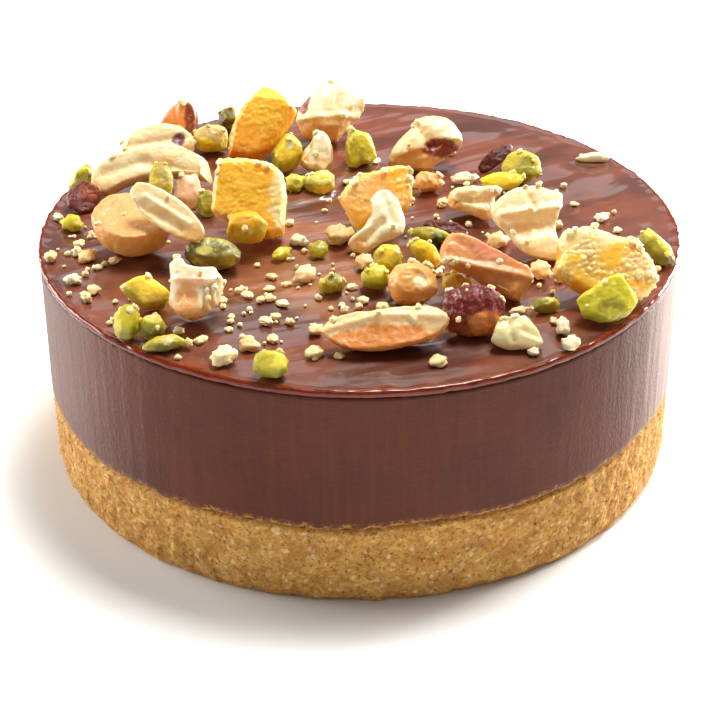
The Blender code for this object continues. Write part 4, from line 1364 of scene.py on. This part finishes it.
class TART_OT_crumbs(bpy.types.Operator):
    """Makes the crumbs and chips that lie on the glaze, and the dust of finer ones over everything"""

    bl_idname = "tart.crumbs"
    bl_label = "Crumbs"

    def execute(self, context):
        rng = random.Random("tart crumbs")
        finish = crumb_finish()
        crumbs = Grains()
        green = Grains()
        for middle, size in solid_grains():
            flat = middle[:2]
            colour = TAN if near_any(flat, BROWN_CHIPS) else rng.choice(CRUMB_COLOURS)
            height = max(size[2] * CRUMB_TALLER, 0.85 * min(size[:2]))
            shape = (size[0] * CRUMB_WIDER, size[1] * CRUMB_WIDER, height)
            place = (*flat, glaze_height(*flat) + height * CRUMB_LIFT)
            if near_any(flat, GREEN_CHIPS):
                green.add(place, shape, (0, 0, 1), LIME, rng, SECOND_BALL)
            else:
                crumbs.add(place, shape, (0, 0, 1), colour, rng, SECOND_BALL)
        self.sprinkle(crumbs, rng)
        crumbs.finish("crumbs_pale", finish)
        fringe = Grains()
        for group, usual in ((NUTS, 4), (PEELS, 20), (PISTACHIOS, 3)):
            for node, look in group.items():
                self.fringe(fringe, node, look, FRINGES.get(node, usual), rng)
        fringe.finish("crumbs_on_edges", finish)
        green.finish("crumbs_green", pistachio_finish())
        return {"FINISHED"}

    def fringe(self, grains, node, look, count, rng):
        """Sets small grains along the upper edges of a piece, where it was broken."""
        mesh = bpy.data.objects[node + "_detail"].data
        points, normals = as_mm(mesh), normals_of(mesh)
        edge = np.empty(len(points), dtype=np.float32)
        mesh.attributes["edge"].data.foreach_get("value", edge)
        up = points @ SEEN_UP
        upper = step_up((up - up.min()) / np.ptp(up), 0.15, 0.75)
        weights = (edge + 0.04) ** 2 * upper * (normals[:, 2] > -0.3)
        for index in rng.choices(range(len(points)), weights.tolist(), k=count):
            size = rng.uniform(*FRINGE_SIZES)
            shape = (size * rng.uniform(0.9, 1.4), size, size * rng.uniform(0.5, 0.8))
            colour = rng.choice((*CRUMB_COLOURS[:3], look.edge))
            grains.add(points[index], shape, normals[index], colour, rng)

    def sprinkle(self, crumbs, rng):
        """Drops fine crumbs from above onto whatever lies there."""
        tree = joined_tree([*loose_objects(), bpy.data.objects["spread_glaze"]])
        for index in range(DUST):
            x, y, spread = DUST_PATCHES[index % len(DUST_PATCHES)]
            x += rng.gauss(0, spread * 0.5)
            y += rng.gauss(0, spread * 0.5)
            size = rng.uniform(*(FINE_DUST if rng.random() < FINE_SHARE else COARSE_DUST))
            if math.hypot(x, y) > RADIUS - 1.2:
                continue
            place, normal = tree.ray_cast(Vector((x * MM, y * MM, DROP_HEIGHT * MM)), Vector((0, 0, -1)))[:2]
            on_piece = place.z / MM > glaze_height(x, y) + 1.2
            if normal.z < 0.35 or (on_piece and rng.random() < SKIPPED_ON_PIECES):
                continue
            middle = np.array(place) / MM + np.array(normal) * size * 0.3
            shape = (size * rng.uniform(0.8, 1.3), size, size * rng.uniform(0.7, 1.0))
            crumbs.add(middle, shape, normal, rng.choice(CRUMB_COLOURS), rng)


def floor_finish(colours):
    made = Finish("pale_ground")
    cloud = made.noise(60.0, 2)
    base = made.mix(cloud * 0.1, colours.floor, linear((240, 240, 238)))
    return made.set(Base_Color=base, Roughness=0.9)


# The ground's half width in millimetres, and the even light from all round
GROUND_REACH = 3000.0
WORLD_LIGHT = 0.16
# The place in metres that the lights are turned to
LIT_PLACE = Vector((0, 0, 0.015))
Light = namedtuple("Light", "name place size power colour")
LIGHTS = (
    Light("overhead", (0.16, 0.2, 0.84), (0.36, 0.28), 10.4, (1.0, 0.985, 0.955)),
    Light("front_fill", (-0.25, -0.62, 1.0), (0.7, 0.5), 0.9, (1.0, 0.99, 0.97)),
    Light("back_card", (0.05, 0.92, 0.68), (0.8, 0.28), 1.3, (0.97, 0.97, 1.0)),
    Light("left_window", (-0.78, 0.3, 0.26), (0.6, 0.4), 7.6, (1.0, 0.99, 0.97)),
    Light("right_strip", (0.54, 0.42, 0.17), (0.26, 0.3), 9.6, (1.0, 0.985, 0.96)),
)


def area_light(light):
    """A soft rectangular light that is turned to the tart."""
    data = bpy.data.lights.new(light.name, "AREA")
    data.shape = "RECTANGLE"
    data.size, data.size_y = light.size
    data.energy = light.power
    data.color = light.colour
    made = bpy.data.objects.new(light.name, data)
    made.location = light.place
    made.rotation_euler = (LIT_PLACE - Vector(light.place)).to_track_quat("-Z", "Y").to_euler()
    bpy.context.scene.collection.objects.link(made)


class TART_OT_stage(bpy.types.Operator):
    """Makes the pale ground, the soft lights and the camera"""

    bl_idname = "tart.stage"
    bl_label = "Stage"

    def execute(self, context):
        scene = context.scene
        reach = GROUND_REACH
        corners = [(-reach, -reach, 0), (reach, -reach, 0), (reach, reach, 0), (-reach, reach, 0)]
        ground = mesh_piece("pale_ground", corners, [(0, 1, 2, 3)], floor_finish(scene.tart_colours))
        for light in LIGHTS:
            area_light(light)
        world = bpy.data.worlds.new("studio")
        world.use_nodes = True
        background = world.node_tree.nodes["Background"]
        background.inputs["Color"].default_value = (1.0, 1.0, 1.0, 1.0)
        background.inputs["Strength"].default_value = WORLD_LIGHT
        scene.world = world
        data = bpy.data.cameras.new("camera")
        data.sensor_width = SENSOR
        data.lens = CAMERA_LENS
        data.clip_start = 0.01
        camera = bpy.data.objects.new("camera", data)
        camera.location = CAMERA_PLACE
        pitch = Matrix.Rotation(CAMERA_TILT, 3, "X")
        camera.rotation_euler = (pitch @ Matrix.Rotation(CAMERA_ROLL, 3, "Z")).to_euler()
        scene.collection.objects.link(camera)
        scene.camera = camera
        scene.view_settings.view_transform = "Standard"
        return {"FINISHED"}


OPERATORS = (
    TART_OT_biscuit,
    TART_OT_cream,
    TART_OT_nuts,
    TART_OT_peel,
    TART_OT_pistachio,
    TART_OT_skins,
    TART_OT_glaze,
    TART_OT_crumbs,
    TART_OT_stage,
)


class TART_PT_panel(bpy.types.Panel):
    """Lists the tart's pieces, sizes and colours"""

    bl_idname = "TART_PT_panel"
    bl_label = "Chocolate tart"
    bl_space_type = "VIEW_3D"
    bl_region_type = "UI"
    bl_category = "Tart"

    def draw(self, context):
        for group in (context.scene.tart_sizes, context.scene.tart_colours):
            for key in group.__annotations__:
                self.layout.prop(group, key)
        for operator in OPERATORS:
            self.layout.operator(operator.bl_idname)


CLASSES = (TartSizes, TartColours, *OPERATORS, TART_PT_panel)


def register():
    for item in CLASSES:
        bpy.utils.register_class(item)
    bpy.types.Scene.tart_sizes = PointerProperty(type=TartSizes)
    bpy.types.Scene.tart_colours = PointerProperty(type=TartColours)


def unregister():
    del bpy.types.Scene.tart_colours
    del bpy.types.Scene.tart_sizes
    for item in reversed(CLASSES):
        bpy.utils.unregister_class(item)


def main():
    register()
    bpy.ops.tart.biscuit()
    bpy.ops.tart.cream()
    bpy.ops.tart.nuts()
    bpy.ops.tart.peel()
    bpy.ops.tart.pistachio()
    bpy.ops.tart.skins()
    bpy.ops.tart.glaze()
    bpy.ops.tart.crumbs()
    bpy.ops.tart.stage()


if __name__ == "__main__":
    main()
